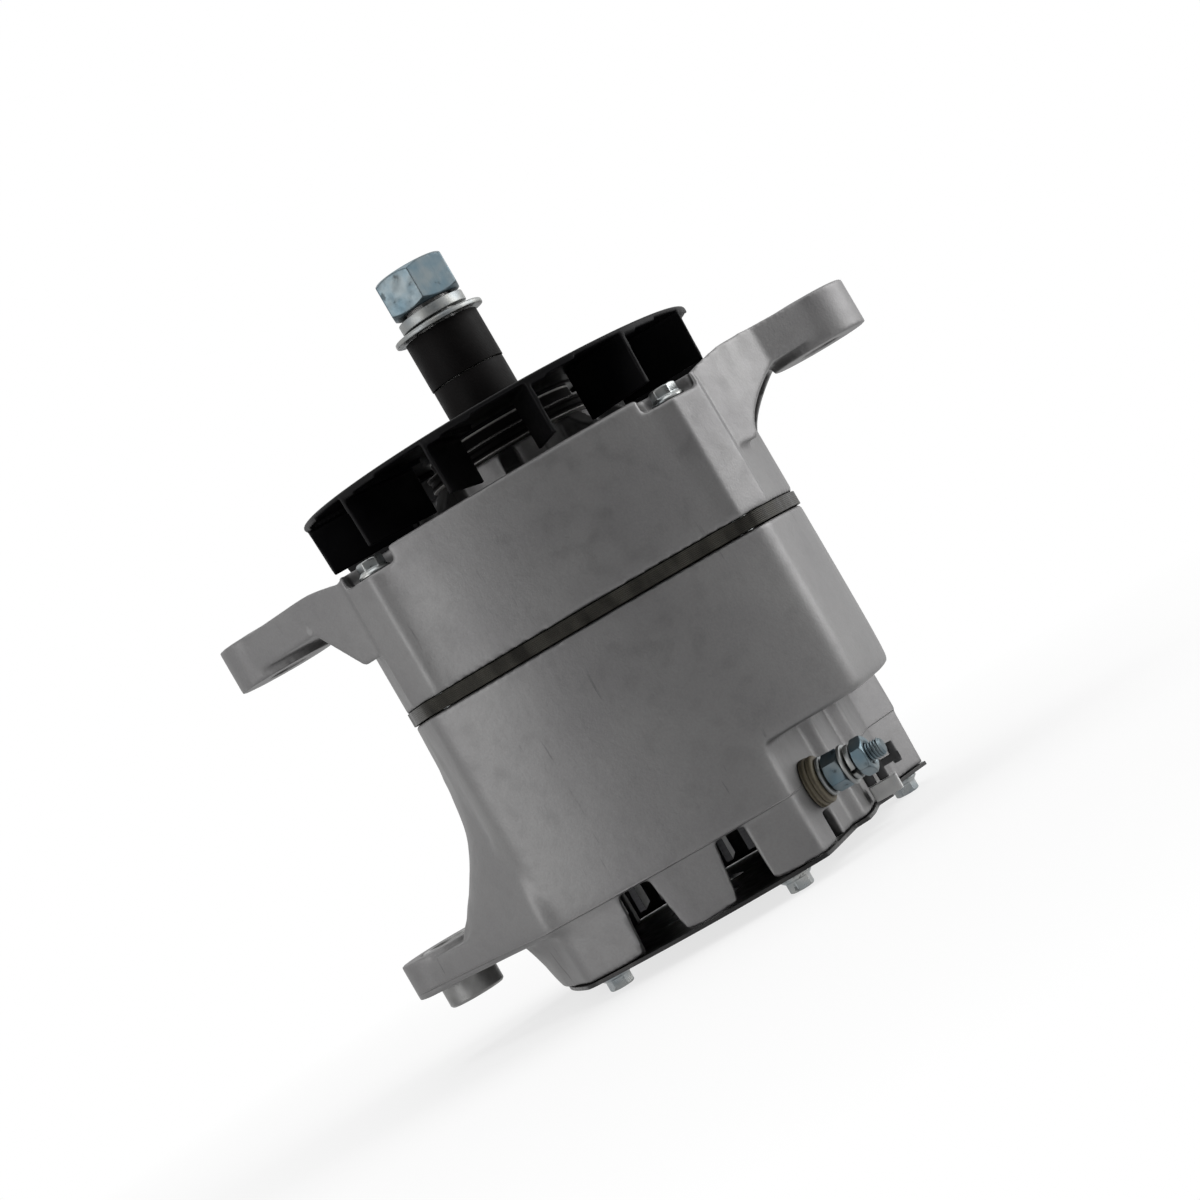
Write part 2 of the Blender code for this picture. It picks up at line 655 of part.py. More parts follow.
def combine(made, other, operation):
    step = made.modifiers.new(operation, "BOOLEAN")
    step.operation = operation
    step.solver = "EXACT"
    step.object = other
    settle(made)
    bpy.data.objects.remove(other)


def cut(made, cutter):
    combine(made, cutter, "DIFFERENCE")


def join(made, other):
    combine(made, other, "UNION")


def keep_common(made, other):
    combine(made, other, "INTERSECT")


def cut_hole(made, x, y, radius, bottom, top, steps=SMALL_STEPS):
    cut(made, prism("hole", circle(radius, steps, x, y), bottom, top))


def finish(made, material):
    """One material, merged doubles and smooth shading between nearly level faces."""
    bm = bmesh.new()
    bm.from_mesh(made.data)
    bmesh.ops.remove_doubles(bm, verts=bm.verts, dist=MERGE_DISTANCE)
    bmesh.ops.dissolve_degenerate(bm, edges=bm.edges, dist=MERGE_DISTANCE)
    bm.to_mesh(made.data)
    bm.free()
    made.data.materials.clear()
    made.data.materials.append(material)
    made.data.shade_smooth()
    made.data.set_sharp_from_angle(angle=SMOOTH_ANGLE)
    return made


def even_sheet(made):
    """Even triangles on both sides of a level sheet, so that no sliver runs across it."""
    bm = bmesh.new()
    bm.from_mesh(made.data)
    bmesh.ops.remove_doubles(bm, verts=bm.verts, dist=MERGE_DISTANCE)
    bmesh.ops.triangulate(bm, faces=bm.faces)
    sides = [face for face in bm.faces if abs(face.normal.z) > LEVEL_NORMAL]
    inner = [edge for edge in bm.edges if all(face in sides for face in edge.link_faces)]
    bmesh.ops.beautify_fill(bm, faces=sides, edges=inner)
    bm.to_mesh(made.data)
    bm.free()
    return made


def hex_head(name, flats, bottom, top, chamfer, steps=SMALL_STEPS + 2):
    """Hexagon with its corners turned off at both ends."""
    made = prism(name, hexagon(flats), bottom, top)
    outer = flats / math.sqrt(3)
    full = outer + chamfer
    drop = chamfer * (full - flats / 2) / (full - outer)
    barrel = turned("barrel", [(0, bottom), (flats / 2, bottom), (full, bottom + drop),
                               (full, top - drop), (flats / 2, top), (0, top)], steps)
    keep_common(made, barrel)
    return made


# Windows and ears

def sector(inner, outer, angle, half_angle):
    """Curved window outline centred on an angle."""
    steps = SECTOR_STEPS
    points = []
    for step in range(steps + 1):
        points.append(ring_point(outer, angle + half_angle * (2 * step / steps - 1)))
    for step in range(steps + 1):
        points.append(ring_point(inner, angle - half_angle * (2 * step / steps - 1)))
    return points


def cut_windows(made, inner, outer, bottom, top):
    """Air windows between the radial ribs."""
    for window in range(WINDOW_COUNT):
        angle = (window + 1 / 2) * math.tau / WINDOW_COUNT
        cut(made, prism("window", sector(inner, outer, angle, WINDOW_HALF_ANGLE), bottom, top))


def mirrored_plan(nose, knee, root, side, bury=EAR_BURY):
    """Plan of an ear: a nose and flanks that flare to the body. Side is 1 or -1."""
    far = [knee, root, (bury, root[1])]
    near = [(x, -y) for x, y in reversed(far)]
    return [(side * x, side * y) for x, y in nose + far + near]


def ear_plan(reach, boss_radius, knee, root, side):
    nose = circle_arc(boss_radius - BOSS_PROUD, reach)
    return mirrored_plan(nose, knee, root, side)


def circle_arc(radius, reach):
    """Round nose of an ear, from its near flank to its far flank."""
    turns = [math.radians(60) * step / NOSE_STEPS for step in range(-NOSE_STEPS, NOSE_STEPS + 1)]
    return [(reach + radius * math.cos(turn), radius * math.sin(turn)) for turn in turns]


def ear_solid(plan, profile, knee, root, side):
    """Where the plan and the side profile of an ear agree, hollow between its two webs."""
    low = min(z for _, z in profile) - CUT_OVERRUN
    high = max(z for _, z in profile) + CUT_OVERRUN
    ear = prism("ear", plan, low, high)
    keep_common(ear, side_prism("profile", profile, -BODY_HALF_WIDTH, BODY_HALF_WIDTH))
    inner = EAR_BURY - CUT_OVERRUN
    half_root = root[1] - EAR_WEB
    half_knee = knee[1] - EAR_WEB
    hollow = [(inner, -half_root), (root[0], -half_root), (knee[0], -half_knee),
              (knee[0], half_knee), (root[0], half_root), (inner, half_root)]
    ceiling = HINGE_BOTTOM if side < 0 else ADJUST_BOTTOM
    cut(ear, prism("hollow", [(side * x, side * y) for x, y in hollow], low, ceiling))
    return ear


def hinge_ear():
    """Front hinge ear at -X, with two webs beneath it."""
    nose = -(HINGE_REACH + HINGE_BOSS_RADIUS + CUT_OVERRUN)
    profile = [(nose, HINGE_BOTTOM), (-HINGE_GUSSET_TIP, HINGE_BOTTOM),
               (-GUSSET_ROOT, HINGE_GUSSET_FOOT), (-EAR_BURY, HINGE_GUSSET_FOOT),
               (-EAR_BURY, BOLT_SEAT), (-SLOPE_END, HINGE_SLOPE_FOOT),
               (-SLOPE_START, HINGE_TOP), (nose, HINGE_TOP)]
    plan = ear_plan(HINGE_REACH, HINGE_BOSS_RADIUS, HINGE_KNEE, HINGE_ROOT, -1)
    ear = ear_solid(plan, profile, HINGE_KNEE, HINGE_ROOT, -1)
    boss = circle(HINGE_BOSS_RADIUS, MEDIUM_STEPS, -HINGE_REACH, 0)
    join(ear, prism("boss", boss, HINGE_BOSS_FACE, HINGE_TOP + BOSS_PROUD))
    return ear


def adjusting_ear():
    """Ear at +X for the belt adjusting strap."""
    nose = ADJUST_REACH + ADJUST_BOSS_RADIUS + CUT_OVERRUN
    edge = [(BODY_HALF_WIDTH + out, ADJUST_BOTTOM - drop) for out, drop in ADJUST_WEB_EDGE]
    profile = [(EAR_BURY, edge[0][1]), *edge, (nose, ADJUST_BOTTOM), (nose, ADJUST_TOP),
               (SLOPE_START, ADJUST_TOP), (SLOPE_END, FRONT_FACE), (EAR_BURY, BOLT_SEAT)]
    plan = ear_plan(ADJUST_REACH, ADJUST_BOSS_RADIUS, ADJUST_KNEE, ADJUST_ROOT, 1)
    ear = ear_solid(plan, profile, ADJUST_KNEE, ADJUST_ROOT, 1)
    boss = circle(ADJUST_BOSS_RADIUS, MEDIUM_STEPS, ADJUST_REACH, 0)
    join(ear, prism("boss", boss, ADJUST_BOSS_FACE, ADJUST_TOP + BOSS_PROUD))
    return ear


def between(first, second, share):
    """Point that lies a share of the way from the first to the second."""
    return tuple(Vector(first).lerp(Vector(second), share))


def foot_section(out, bury=EAR_BURY):
    """Foot outline where its middle line stands out from the body. It melts into the body at the tip."""
    share = (out + FOOT_TIP_DEPTH) / (FOOT_GUSSET[0][1] + FOOT_TIP_DEPTH)
    half = FOOT_TIP_HALF_WIDTH + share * (FOOT_HALF_WIDTH - FOOT_TIP_HALF_WIDTH)
    reach = BODY_HALF_WIDTH + out
    nose = [(reach, half * step / NOSE_STEPS) for step in range(-NOSE_STEPS, NOSE_STEPS + 1)]
    knee = between(FOOT_TIP_KNEE, FOOT_KNEE, share)
    return mirrored_plan(nose, knee, between(FOOT_TIP_ROOT, FOOT_ROOT, share), -1, bury)


def rear_foot():
    """Rear hinge foot at -X: its flanks run out of the body corners and melt into them."""
    plan = ear_plan(HINGE_REACH, HINGE_BOSS_RADIUS, FOOT_KNEE, FOOT_ROOT, -1)
    sections = [(plan, FOOT_BOTTOM), (plan, FOOT_TOP)]
    sections += [(foot_section(out), height) for height, out in FOOT_GUSSET]
    foot = lofted("foot", sections)
    deeper = EAR_BURY - CUT_OVERRUN
    join(foot, lofted("keel", [(foot_section(out, deeper), height) for height, out in FOOT_KEEL]))
    boss = circle(HINGE_BOSS_RADIUS, MEDIUM_STEPS, -HINGE_REACH, 0)
    join(foot, prism("boss", boss, FOOT_BOTTOM - BOSS_PROUD, FOOT_BOSS_FACE))
    return foot


# Front housing

def bolt_places():
    return [(sx * BOLT_SPACING, sy * BOLT_SPACING) for sx in (-1, 1) for sy in (-1, 1)]


def stack_bottom():
    return BAND_BOTTOM + (BAND_THICKNESS - STACK_LENGTH) / 2


def stack_top():
    return stack_bottom() + STACK_LENGTH


def face_rib(angle):
    """Radial rib on the front face, stepped down from the bearing boss."""
    low = FRONT_FACE - CUT_OVERRUN
    high = FRONT_BOSS_TOP - BOSS_PROUD
    profile = [(FRONT_BOSS_BORE, low), (RIB_END_RADIUS, low), (RIB_STEP_RADIUS, RIB_STEP_TOP),
               (RIB_HIGH_RADIUS, high), (FRONT_BOSS_BORE, high)]
    rib = side_prism("rib", profile, -RIB_HALF_THICKNESS, RIB_HALF_THICKNESS)
    rib.data.transform(Matrix.Rotation(angle, 4, "Z"))
    return rib


def bolt_notch(sx, sy):
    """Low seat for a through bolt, open to the near or the far side."""
    inner = BOLT_SPACING - NOTCH_MARGIN
    outer = BOLT_SPACING + NOTCH_OUTER_MARGIN
    beside_ear = BOLT_SPACING + NOTCH_EAR_MARGIN
    open_side = BODY_HALF_WIDTH + CUT_OVERRUN
    corners = [(inner, open_side, 0), (inner, inner, NOTCH_ROUND), (outer, inner, 0),
               (outer, beside_ear, 0), (open_side, beside_ear, 0), (open_side, open_side, 0)]
    outline = [(sx * x, sy * y) for x, y in rounded_outline(corners)]
    return prism("notch", outline, BOLT_SEAT, ADJUST_TOP + CUT_OVERRUN)


def front_cavity():
    low = BAND_BOTTOM - CUT_OVERRUN
    ledge = stack_top() + SEAT_GAP
    bore = STACK_RADIUS + SEAT_GAP
    ceiling = FRONT_FACE - FRONT_WALL_THICKNESS
    return turned("cavity", [
        (0, low), (bore, low), (bore, ledge), (LEDGE_BORE, ledge), (LEDGE_BORE, ceiling - CAVITY_CHAMFER),
        (LEDGE_BORE - CAVITY_CHAMFER, ceiling), (SEAT_TUBE_RADIUS, ceiling),
        (SEAT_TUBE_RADIUS, FRONT_BEARING_BOTTOM), (0, FRONT_BEARING_BOTTOM)], LARGE_STEPS)


def front_bearing_seat():
    low = FRONT_BEARING_BOTTOM - CUT_OVERRUN
    seat = FRONT_BEARING_OUTER + SEAT_GAP
    top = FRONT_BEARING_BOTTOM + FRONT_BEARING_WIDTH + SEAT_GAP
    end = FRONT_BOSS_TOP + CUT_OVERRUN
    return turned("seat", [(0, low), (seat, low), (seat, top), (FRONT_BOSS_BORE, top),
                           (FRONT_BOSS_BORE, end), (0, end)], MEDIUM_STEPS)


def front_housing(finishes):
    bottom = BAND_BOTTOM + BAND_THICKNESS + SEAT_GAP
    middle = FRONT_EDGE_ROUND * (1 - math.sqrt(1 / 2))
    housing = lofted("front_housing", [
        (lobed_outline(0), bottom), (lobed_outline(0), FRONT_FACE - FRONT_EDGE_ROUND),
        (lobed_outline(middle), FRONT_FACE - middle), (lobed_outline(FRONT_EDGE_ROUND), FRONT_FACE)])
    join(housing, hinge_ear())
    join(housing, adjusting_ear())
    boss_low = FRONT_FACE - CUT_OVERRUN
    join(housing, prism("boss", circle(FRONT_BOSS_RADIUS, MEDIUM_STEPS), boss_low, FRONT_BOSS_TOP))
    for rib in range(WINDOW_COUNT):
        join(housing, face_rib(rib * math.tau / WINDOW_COUNT))
    for sx in (-1, 1):
        for sy in (-1, 1):
            cut(housing, bolt_notch(sx, sy))
    cut(housing, front_cavity())
    cut(housing, front_bearing_seat())
    wall_low = FRONT_FACE - FRONT_WALL_THICKNESS - CUT_OVERRUN
    cut_windows(housing, FRONT_WINDOW_INNER, FRONT_WINDOW_OUTER, wall_low, FRONT_FACE + CUT_OVERRUN)
    for x, y in bolt_places():
        cut_hole(housing, x, y, BOLT_RADIUS + SEAT_GAP, bottom - CUT_OVERRUN, BOLT_SEAT + CUT_OVERRUN)
    for x, y in inner_screw_places(RETAINER_SCREW_CIRCLE):
        top = FRONT_BEARING_BOTTOM + INNER_SCREW_LENGTH
        cut_hole(housing, x, y, INNER_SCREW_RADIUS + SEAT_GAP, FRONT_BEARING_BOTTOM - CUT_OVERRUN, top)
    for x, face in ((-HINGE_REACH, HINGE_BOSS_FACE), (ADJUST_REACH, ADJUST_BOSS_FACE)):
        cut_hole(housing, x, 0, EAR_HOLE_RADIUS, face - CUT_OVERRUN, ADJUST_TOP + CUT_OVERRUN)
    return finish(housing, finishes["cast"])


# Rear housing

def pocket_outline(path, mouth_round, bend_round):
    """Cutter outline: the pocket's wall path, closed well outside the body."""
    out = BODY_HALF_WIDTH + HINGE_REACH
    mouth = Vector(path[0])
    rise = math.asin(mouth.x / side_arc_radius())
    lead = mouth - Vector((math.cos(rise), math.sin(rise))) * (mouth.x * POCKET_LEAD_SHARE)
    corners = [(out, -out, 0), (out, path[-1][1], 0), (*path[-1], 0)]
    corners += [(x, y, bend_round) for x, y in reversed(path[1:-1])]
    corners += [(*path[0], mouth_round), (lead.x, lead.y, 0), (lead.x, -out, 0)]
    return rounded_outline(corners)


def rear_lower():
    bottom = COVER_SHEET + SEAT_GAP
    lower = lofted("rear_housing", [
        (squared_outline(SKIRT_BOTTOM_INSET), bottom), (squared_outline(SKIRT_TOP_INSET), SKIRT_TOP),
        (squared_outline(0), SKIRT_TOP + SKIRT_STEP),
        (squared_outline(0), POCKET_CEILING + POCKET_EDGE_ROUND)])
    outline = pocket_outline(POCKET_PATH, POCKET_MOUTH_ROUND, POCKET_BEND_ROUND)
    cut(lower, prism("pocket", outline, -CUT_OVERRUN, REAR_WALL_BOTTOM))
    return lower


def rear_upper():
    """Main body, with the round lower edge that overhangs the pocket."""
    sections = []
    for step in range(FILLET_STEPS + 1):
        angle = math.pi / 2 * step / FILLET_STEPS
        inset = POCKET_EDGE_ROUND * (1 - math.sin(angle))
        height = POCKET_CEILING + POCKET_EDGE_ROUND * (1 - math.cos(angle))
        sections.append((squared_outline(inset), height))
    sections.append((squared_outline(0), BAND_BOTTOM - SEAT_GAP))
    return lofted("upper", sections)


def rear_compartment():
    """Space for the electrical pieces, kept clear of the pocket by its wall."""
    space = prism("space", squared_outline(CAVITY_INSET), -CUT_OVERRUN, REAR_WALL_BOTTOM)
    inner_path = shifted_path(POCKET_PATH, POCKET_WALL)
    keep = prism("keep", pocket_outline(inner_path, 0, 0), -2 * CUT_OVERRUN, POCKET_CEILING + POCKET_WALL)
    cut(space, keep)
    above = REAR_WALL_BOTTOM + CUT_OVERRUN
    for x, y in SCREW_PLACES:
        boss = circle(SCREW_BOSS_RADIUS, SMALL_STEPS, x, y)
        cut(space, prism("boss", boss, -2 * CUT_OVERRUN, above))
    hub_low = REAR_WALL_BOTTOM - REAR_HUB_DEPTH
    cut(space, prism("hub", circle(REAR_HUB_RADIUS, MEDIUM_STEPS), hub_low, above))
    return space


def rear_stator_cavity():
    floor = REAR_WALL_BOTTOM + REAR_WALL_THICKNESS
    pad = floor + COIL_PAD_HEIGHT
    ledge = stack_bottom() - SEAT_GAP
    bore = STACK_RADIUS + SEAT_GAP
    top = BAND_BOTTOM + CUT_OVERRUN
    return turned("cavity", [
        (0, pad), (COIL_PAD_RADIUS, pad), (COIL_PAD_RADIUS, floor), (LEDGE_BORE - CAVITY_CHAMFER, floor),
        (LEDGE_BORE, floor + CAVITY_CHAMFER), (LEDGE_BORE, ledge), (bore, ledge), (bore, top), (0, top)],
        LARGE_STEPS)


def rear_bearing_seat():
    low = REAR_WALL_BOTTOM - REAR_HUB_DEPTH - CUT_OVERRUN
    seat = REAR_BEARING_OUTER + SEAT_GAP
    lip = REAR_BEARING_BOTTOM - SEAT_GAP
    bore = REAR_JOURNAL_RADIUS + SEAT_GAP + REAR_BORE_CLEARANCE
    top = REAR_WALL_BOTTOM + REAR_WALL_THICKNESS + COIL_PAD_HEIGHT + CUT_OVERRUN
    return turned("seat", [(0, low), (bore, low), (bore, lip), (seat, lip), (seat, top), (0, top)],
                  MEDIUM_STEPS)


def skirt_window(shares):
    """Window that narrows upward, with the feet of the posts beside it rounded."""
    bottom = COVER_SHEET + SEAT_GAP
    left_foot, left_top, right_top, right_foot = [BODY_HALF_WIDTH * share for share in shares]
    left = left_foot - SKIRT_WINDOW_ROUND
    right = right_foot + SKIRT_WINDOW_ROUND
    outline = rounded_outline([
        (left, bottom - CUT_OVERRUN, 0), (right, bottom - CUT_OVERRUN, 0), (right, bottom, 0),
        (right_foot, bottom, SKIRT_WINDOW_ROUND), (right_top, SKIRT_TOP, 0), (left_top, SKIRT_TOP, 0),
        (left_foot, bottom, SKIRT_WINDOW_ROUND), (left, bottom, 0)])
    inner = BODY_HALF_WIDTH - CAVITY_INSET - CUT_OVERRUN
    return side_prism("window", outline, -BODY_HALF_WIDTH - CUT_OVERRUN, -inner)


def terminal_wall():
    """Place of the stud on the first wall of the pocket, and the wall's outward direction."""
    start, end = Vector(POCKET_PATH[0]), Vector(POCKET_PATH[1])
    along = (end - start).normalized()
    return start.lerp(end, TERMINAL_WALL_SHARE), Vector((along.y, -along.x))


def terminal_matrix():
    place, outward = terminal_wall()
    turn = outward.to_3d().to_track_quat("Z", "Y").to_matrix().to_4x4()
    return Matrix.Translation((*place, TERMINAL_HEIGHT)) @ turn


def cut_terminal_wall(housing):
    """Stud hole and the slot below it in the pocket wall."""
    reach = POCKET_WALL + CUT_OVERRUN
    hole = prism("hole", circle(STUD_RADIUS + SEAT_GAP, SMALL_STEPS), -reach, CUT_OVERRUN)
    hole.data.transform(terminal_matrix())
    cut(housing, hole)
    middle = -POCKET_WALL / 2
    slot = block("slot", (middle, 0), POCKET_WALL + 2 * CUT_OVERRUN, WALL_SLOT_WIDTH,
                 -CUT_OVERRUN, WALL_SLOT_TOP)
    place, outward = terminal_wall()
    heading = math.atan2(outward.y, outward.x)
    slot.data.transform(Matrix.Translation((*place, 0)) @ Matrix.Rotation(heading, 4, "Z"))
    cut(housing, slot)


def rear_housing(finishes):
    housing = rear_lower()
    join(housing, rear_upper())
    join(housing, rear_foot())
    cut(housing, rear_compartment())
    cut(housing, rear_stator_cavity())
    cut(housing, rear_bearing_seat())
    bottom = COVER_SHEET + SEAT_GAP
    wall_top = REAR_WALL_BOTTOM + REAR_WALL_THICKNESS + CUT_OVERRUN
    cut_windows(housing, REAR_WINDOW_INNER, REAR_WINDOW_OUTER, REAR_WALL_BOTTOM - CUT_OVERRUN, wall_top)
    for x, y in bolt_places():
        cut_hole(housing, x, y, BOLT_RADIUS + SEAT_GAP, BOLT_END - SEAT_GAP, BAND_BOTTOM + CUT_OVERRUN)
    for x, y in SCREW_PLACES:
        cut_hole(housing, x, y, SCREW_RADIUS + SEAT_GAP, -CUT_OVERRUN, bottom + SCREW_LENGTH)
    pad = REAR_WALL_BOTTOM + REAR_WALL_THICKNESS + COIL_PAD_HEIGHT
    for x, y in inner_screw_places(SUPPORT_SCREW_CIRCLE):
        cut_hole(housing, x, y, INNER_SCREW_RADIUS + SEAT_GAP, pad - INNER_SCREW_LENGTH, pad + CUT_OVERRUN)
    for shares in NEAR_WINDOW_SHARES:
        cut(housing, skirt_window(shares))
    for shares in FAR_WINDOW_SHARES:
        window = skirt_window([-share for share in reversed(shares)])
        window.data.transform(Matrix.Rotation(math.pi, 4, "Z"))
        cut(housing, window)
    cut_terminal_wall(housing)
    cut_hole(housing, -HINGE_REACH, 0, BUSHING_RADIUS + SEAT_GAP, FOOT_BOTTOM - CUT_OVERRUN,
             FOOT_BOSS_FACE + CUT_OVERRUN, MEDIUM_STEPS)
    return finish(housing, finishes["cast"])


# Rear cover, screws and through bolts

def rear_cover(finishes):
    cover = prism("rear_cover", squared_outline(COVER_INSET), 0, COVER_SHEET)
    path = shifted_path(POCKET_PATH, -COVER_POCKET_STEP)
    pocket = pocket_outline(path, POCKET_MOUTH_ROUND, POCKET_BEND_ROUND)
    cut(cover, prism("pocket", pocket, -CUT_OVERRUN, COVER_SHEET + CUT_OVERRUN))
    for index in range(COVER_SLOT_COUNT):
        slot = block("slot", (COVER_SLOT_RADIUS, 0), COVER_SLOT_LENGTH, COVER_SLOT_WIDTH,
                     -CUT_OVERRUN, COVER_SHEET + CUT_OVERRUN, COVER_SLOT_WIDTH * SLOT_END_SHARE)
        slot.data.transform(Matrix.Rotation((index + 1 / 2) * math.tau / COVER_SLOT_COUNT, 4, "Z"))
        cut(cover, slot)
    for x, y in SCREW_PLACES:
        cut_hole(cover, x, y, SCREW_RADIUS + SEAT_GAP, -CUT_OVERRUN, COVER_SHEET + CUT_OVERRUN)
    return finish(even_sheet(cover), finishes["cover"])


def flanged_screw(name, flats, head, flange_radius, flange_height, radius, length):
    """Hexagon head on a flange and a plain shank. The shank points to -Z from z = 0."""
    edge = flange_height * FLANGE_EDGE_SHARE
    screw = turned(name, [(0, -length), (radius, -length), (radius, 0), (flange_radius, 0),
                          (flange_radius, edge), (flange_radius * FLANGE_CROWN_SHARE, flange_height),
                          (0, flange_height)], SMALL_STEPS)
    chamfer = flats / math.sqrt(3) - flats / 2
    join(screw, hex_head("head", flats, edge, head, chamfer))
    return screw


def cover_screws(finishes):
    for index, (x, y) in enumerate(SCREW_PLACES):
        screw = flanged_screw("cover_screw_%d" % (index + 1), SCREW_HEAD_FLATS, SCREW_HEAD_HEIGHT,
                              SCREW_FLANGE_RADIUS, SCREW_FLANGE_HEIGHT, SCREW_RADIUS, SCREW_LENGTH)
        screw.location = (x, y, -SEAT_GAP)
        screw.rotation_euler = (math.pi, 0, 0)
        finish(screw, finishes["zinc"])


def through_bolts(finishes):
    for index, (x, y) in enumerate(bolt_places()):
        length = BOLT_SEAT + SEAT_GAP - BOLT_END
        bolt = flanged_screw("through_bolt_%d" % (index + 1), BOLT_HEAD_FLATS, BOLT_HEAD_HEIGHT,
                             BOLT_FLANGE_RADIUS, BOLT_FLANGE_HEIGHT, BOLT_RADIUS, length)
        bolt.location = (x, y, BOLT_SEAT + SEAT_GAP)
        finish(bolt, finishes["zinc"])


def inner_screw_places(radius):
    return [ring_point(radius, math.pi / 2 + step * math.tau / INNER_SCREW_COUNT)
            for step in range(INNER_SCREW_COUNT)]


def inner_screw(name, place, height, shank_up, finishes):
    """Round-headed screw inside the housings."""
    screw = turned(name, [
        (0, -INNER_SCREW_LENGTH + RUNNING_GAP), (INNER_SCREW_RADIUS, -INNER_SCREW_LENGTH + RUNNING_GAP),
        (INNER_SCREW_RADIUS, 0), (INNER_SCREW_HEAD_RADIUS, 0),
        (INNER_SCREW_HEAD_RADIUS, INNER_SCREW_HEAD_HEIGHT * HEAD_EDGE_SHARE),
        (INNER_SCREW_HEAD_RADIUS * HEAD_CROWN_SHARE, INNER_SCREW_HEAD_HEIGHT),
        (0, INNER_SCREW_HEAD_HEIGHT)], SMALL_STEPS)
    screw.location = (*place, height)
    screw.rotation_euler = (math.pi if shank_up else 0, 0, 0)
    finish(screw, finishes["zinc"])


# Stator

def slot_outline():
    """Bore of the stack with its half-closed winding slots."""
    shoulder = STACK_BORE + SLOT_MOUTH_DEPTH
    root = STACK_BORE + SLOT_DEPTH
    outline = []
    for slot in range(SLOT_COUNT):
        middle = slot * math.tau / SLOT_COUNT
        for radius, half in ((STACK_BORE, -SLOT_MOUTH_HALF_ANGLE), (shoulder, -SLOT_HALF_ANGLE),
                             (root, -SLOT_HALF_ANGLE), (root, SLOT_HALF_ANGLE),
                             (shoulder, SLOT_HALF_ANGLE), (STACK_BORE, SLOT_MOUTH_HALF_ANGLE)):
            outline.append(ring_point(radius, middle + half))
    return outline


def stator_core(finishes):
    """Slotted lamination stack with the square plates that show between the housings."""
    core = prism("stator_core", circle(STACK_RADIUS, LARGE_STEPS), stack_bottom(), stack_top())
    join(core, prism("plates", squared_outline(-BAND_PROUD), BAND_BOTTOM, BAND_BOTTOM + BAND_THICKNESS))
    cut(core, prism("slots", slot_outline(), stack_bottom() - CUT_OVERRUN, stack_top() + CUT_OVERRUN))
    for x, y in bolt_places():
        low = BAND_BOTTOM - CUT_OVERRUN
        cut_hole(core, x, y, BOLT_RADIUS + SEAT_GAP, low, BAND_BOTTOM + BAND_THICKNESS + CUT_OVERRUN)
    return finish(core, finishes["band"])


def winding_section(face, out):
    """Half section of an end winding: face is its flat level, out its overhang direction."""
    bar_inner = STACK_BORE + SLOT_MOUTH_DEPTH + SEAT_GAP
    bar_outer = STACK_BORE + SLOT_DEPTH - SEAT_GAP
    end = face + out * WINDING_OVERHANG
    return [(bar_inner, face), (bar_outer, face), (WINDING_OUTER_RADIUS, face + out * WINDING_ROUND),
            (WINDING_OUTER_RADIUS - WINDING_ROUND, end), (WINDING_INNER_RADIUS, end)]


def stator_winding(finishes):
    """Two end windings joined by a bar in every slot."""
    bm = bmesh.new()
    sections = (winding_section(stack_bottom() - SEAT_GAP, -1),
                winding_section(stack_top() + SEAT_GAP, 1))
    stations = []
    for slot in range(SLOT_COUNT):
        middle = slot * math.tau / SLOT_COUNT
        for side in (-BAR_HALF_ANGLE, BAR_HALF_ANGLE):
            turn = middle + side
            stations.append([[bm.verts.new((*ring_point(radius, turn), height))
                              for radius, height in section] for section in sections])
    count = len(sections[0])
    for index, station in enumerate(stations):
        following = stations[(index + 1) % len(stations)]
        in_slot = index % 2 == 0
        for near, far in zip(station, following):
            for point in range(count):
                after = (point + 1) % count
                if in_slot and point == 0:
                    continue
                bm.faces.new((near[point], near[after], far[after], far[point]))
        if in_slot:
            bar_sides(bm, station, following)
    return finish(new_object("stator_winding", bm), finishes["copper"])


def bar_sides(bm, station, following):
    """The four long faces of one slot bar, between its two end windings."""
    corners = [(station, 0), (station, 1), (following, 1), (following, 0)]
    for index, (group, point) in enumerate(corners):
        before_group, before_point = corners[index - 1]
        bm.faces.new((before_group[0][before_point], group[0][point],
                      group[1][point], before_group[1][before_point]))


# Rotor

def claw_inner_radius(height, root, tip):
    """Radius of a claw's sloping inner face at a height."""
    share = (height - root) / (tip - root)
    return ROTOR_RADIUS - CLAW_THICKNESS + share * (CLAW_THICKNESS - CLAW_TIP_THICKNESS)


def add_claws(pole, back, root, tip, first_angle):
    """Tapered claws that reach over the field coil from a pole piece."""
    for claw in range(CLAW_COUNT):
        angle = first_angle + claw * math.tau / CLAW_COUNT
        thick = sector(ROTOR_RADIUS - CLAW_THICKNESS, ROTOR_RADIUS, angle, CLAW_ROOT_HALF_ANGLE)
        thin = sector(ROTOR_RADIUS - CLAW_TIP_THICKNESS, ROTOR_RADIUS, angle, CLAW_TIP_HALF_ANGLE)
        join(pole, lofted("claw", [(thick, back), (thick, root), (thin, tip)]))


def front_pole_claw(finishes):
    """Pole piece on the shaft: hub, disc and six claws toward the rear."""
    top = FRONT_POLE_BOTTOM + FRONT_POLE_THICKNESS
    bore = CORE_SEAT_RADIUS + SEAT_GAP
    hub_top = FRONT_BEARING_BOTTOM - SEAT_GAP
    pole = turned("front_pole_claw", [
        (bore, FRONT_POLE_BOTTOM), (POLE_VALLEY_RADIUS, FRONT_POLE_BOTTOM), (POLE_VALLEY_RADIUS, top),
        (POLE_HUB_RADIUS, top), (POLE_HUB_RADIUS, hub_top), (bore, hub_top)], MEDIUM_STEPS)
    add_claws(pole, top, FRONT_POLE_BOTTOM, REAR_POLE_BOTTOM + CLAW_END_MARGIN, 0)
    return finish(pole, finishes["steel"])


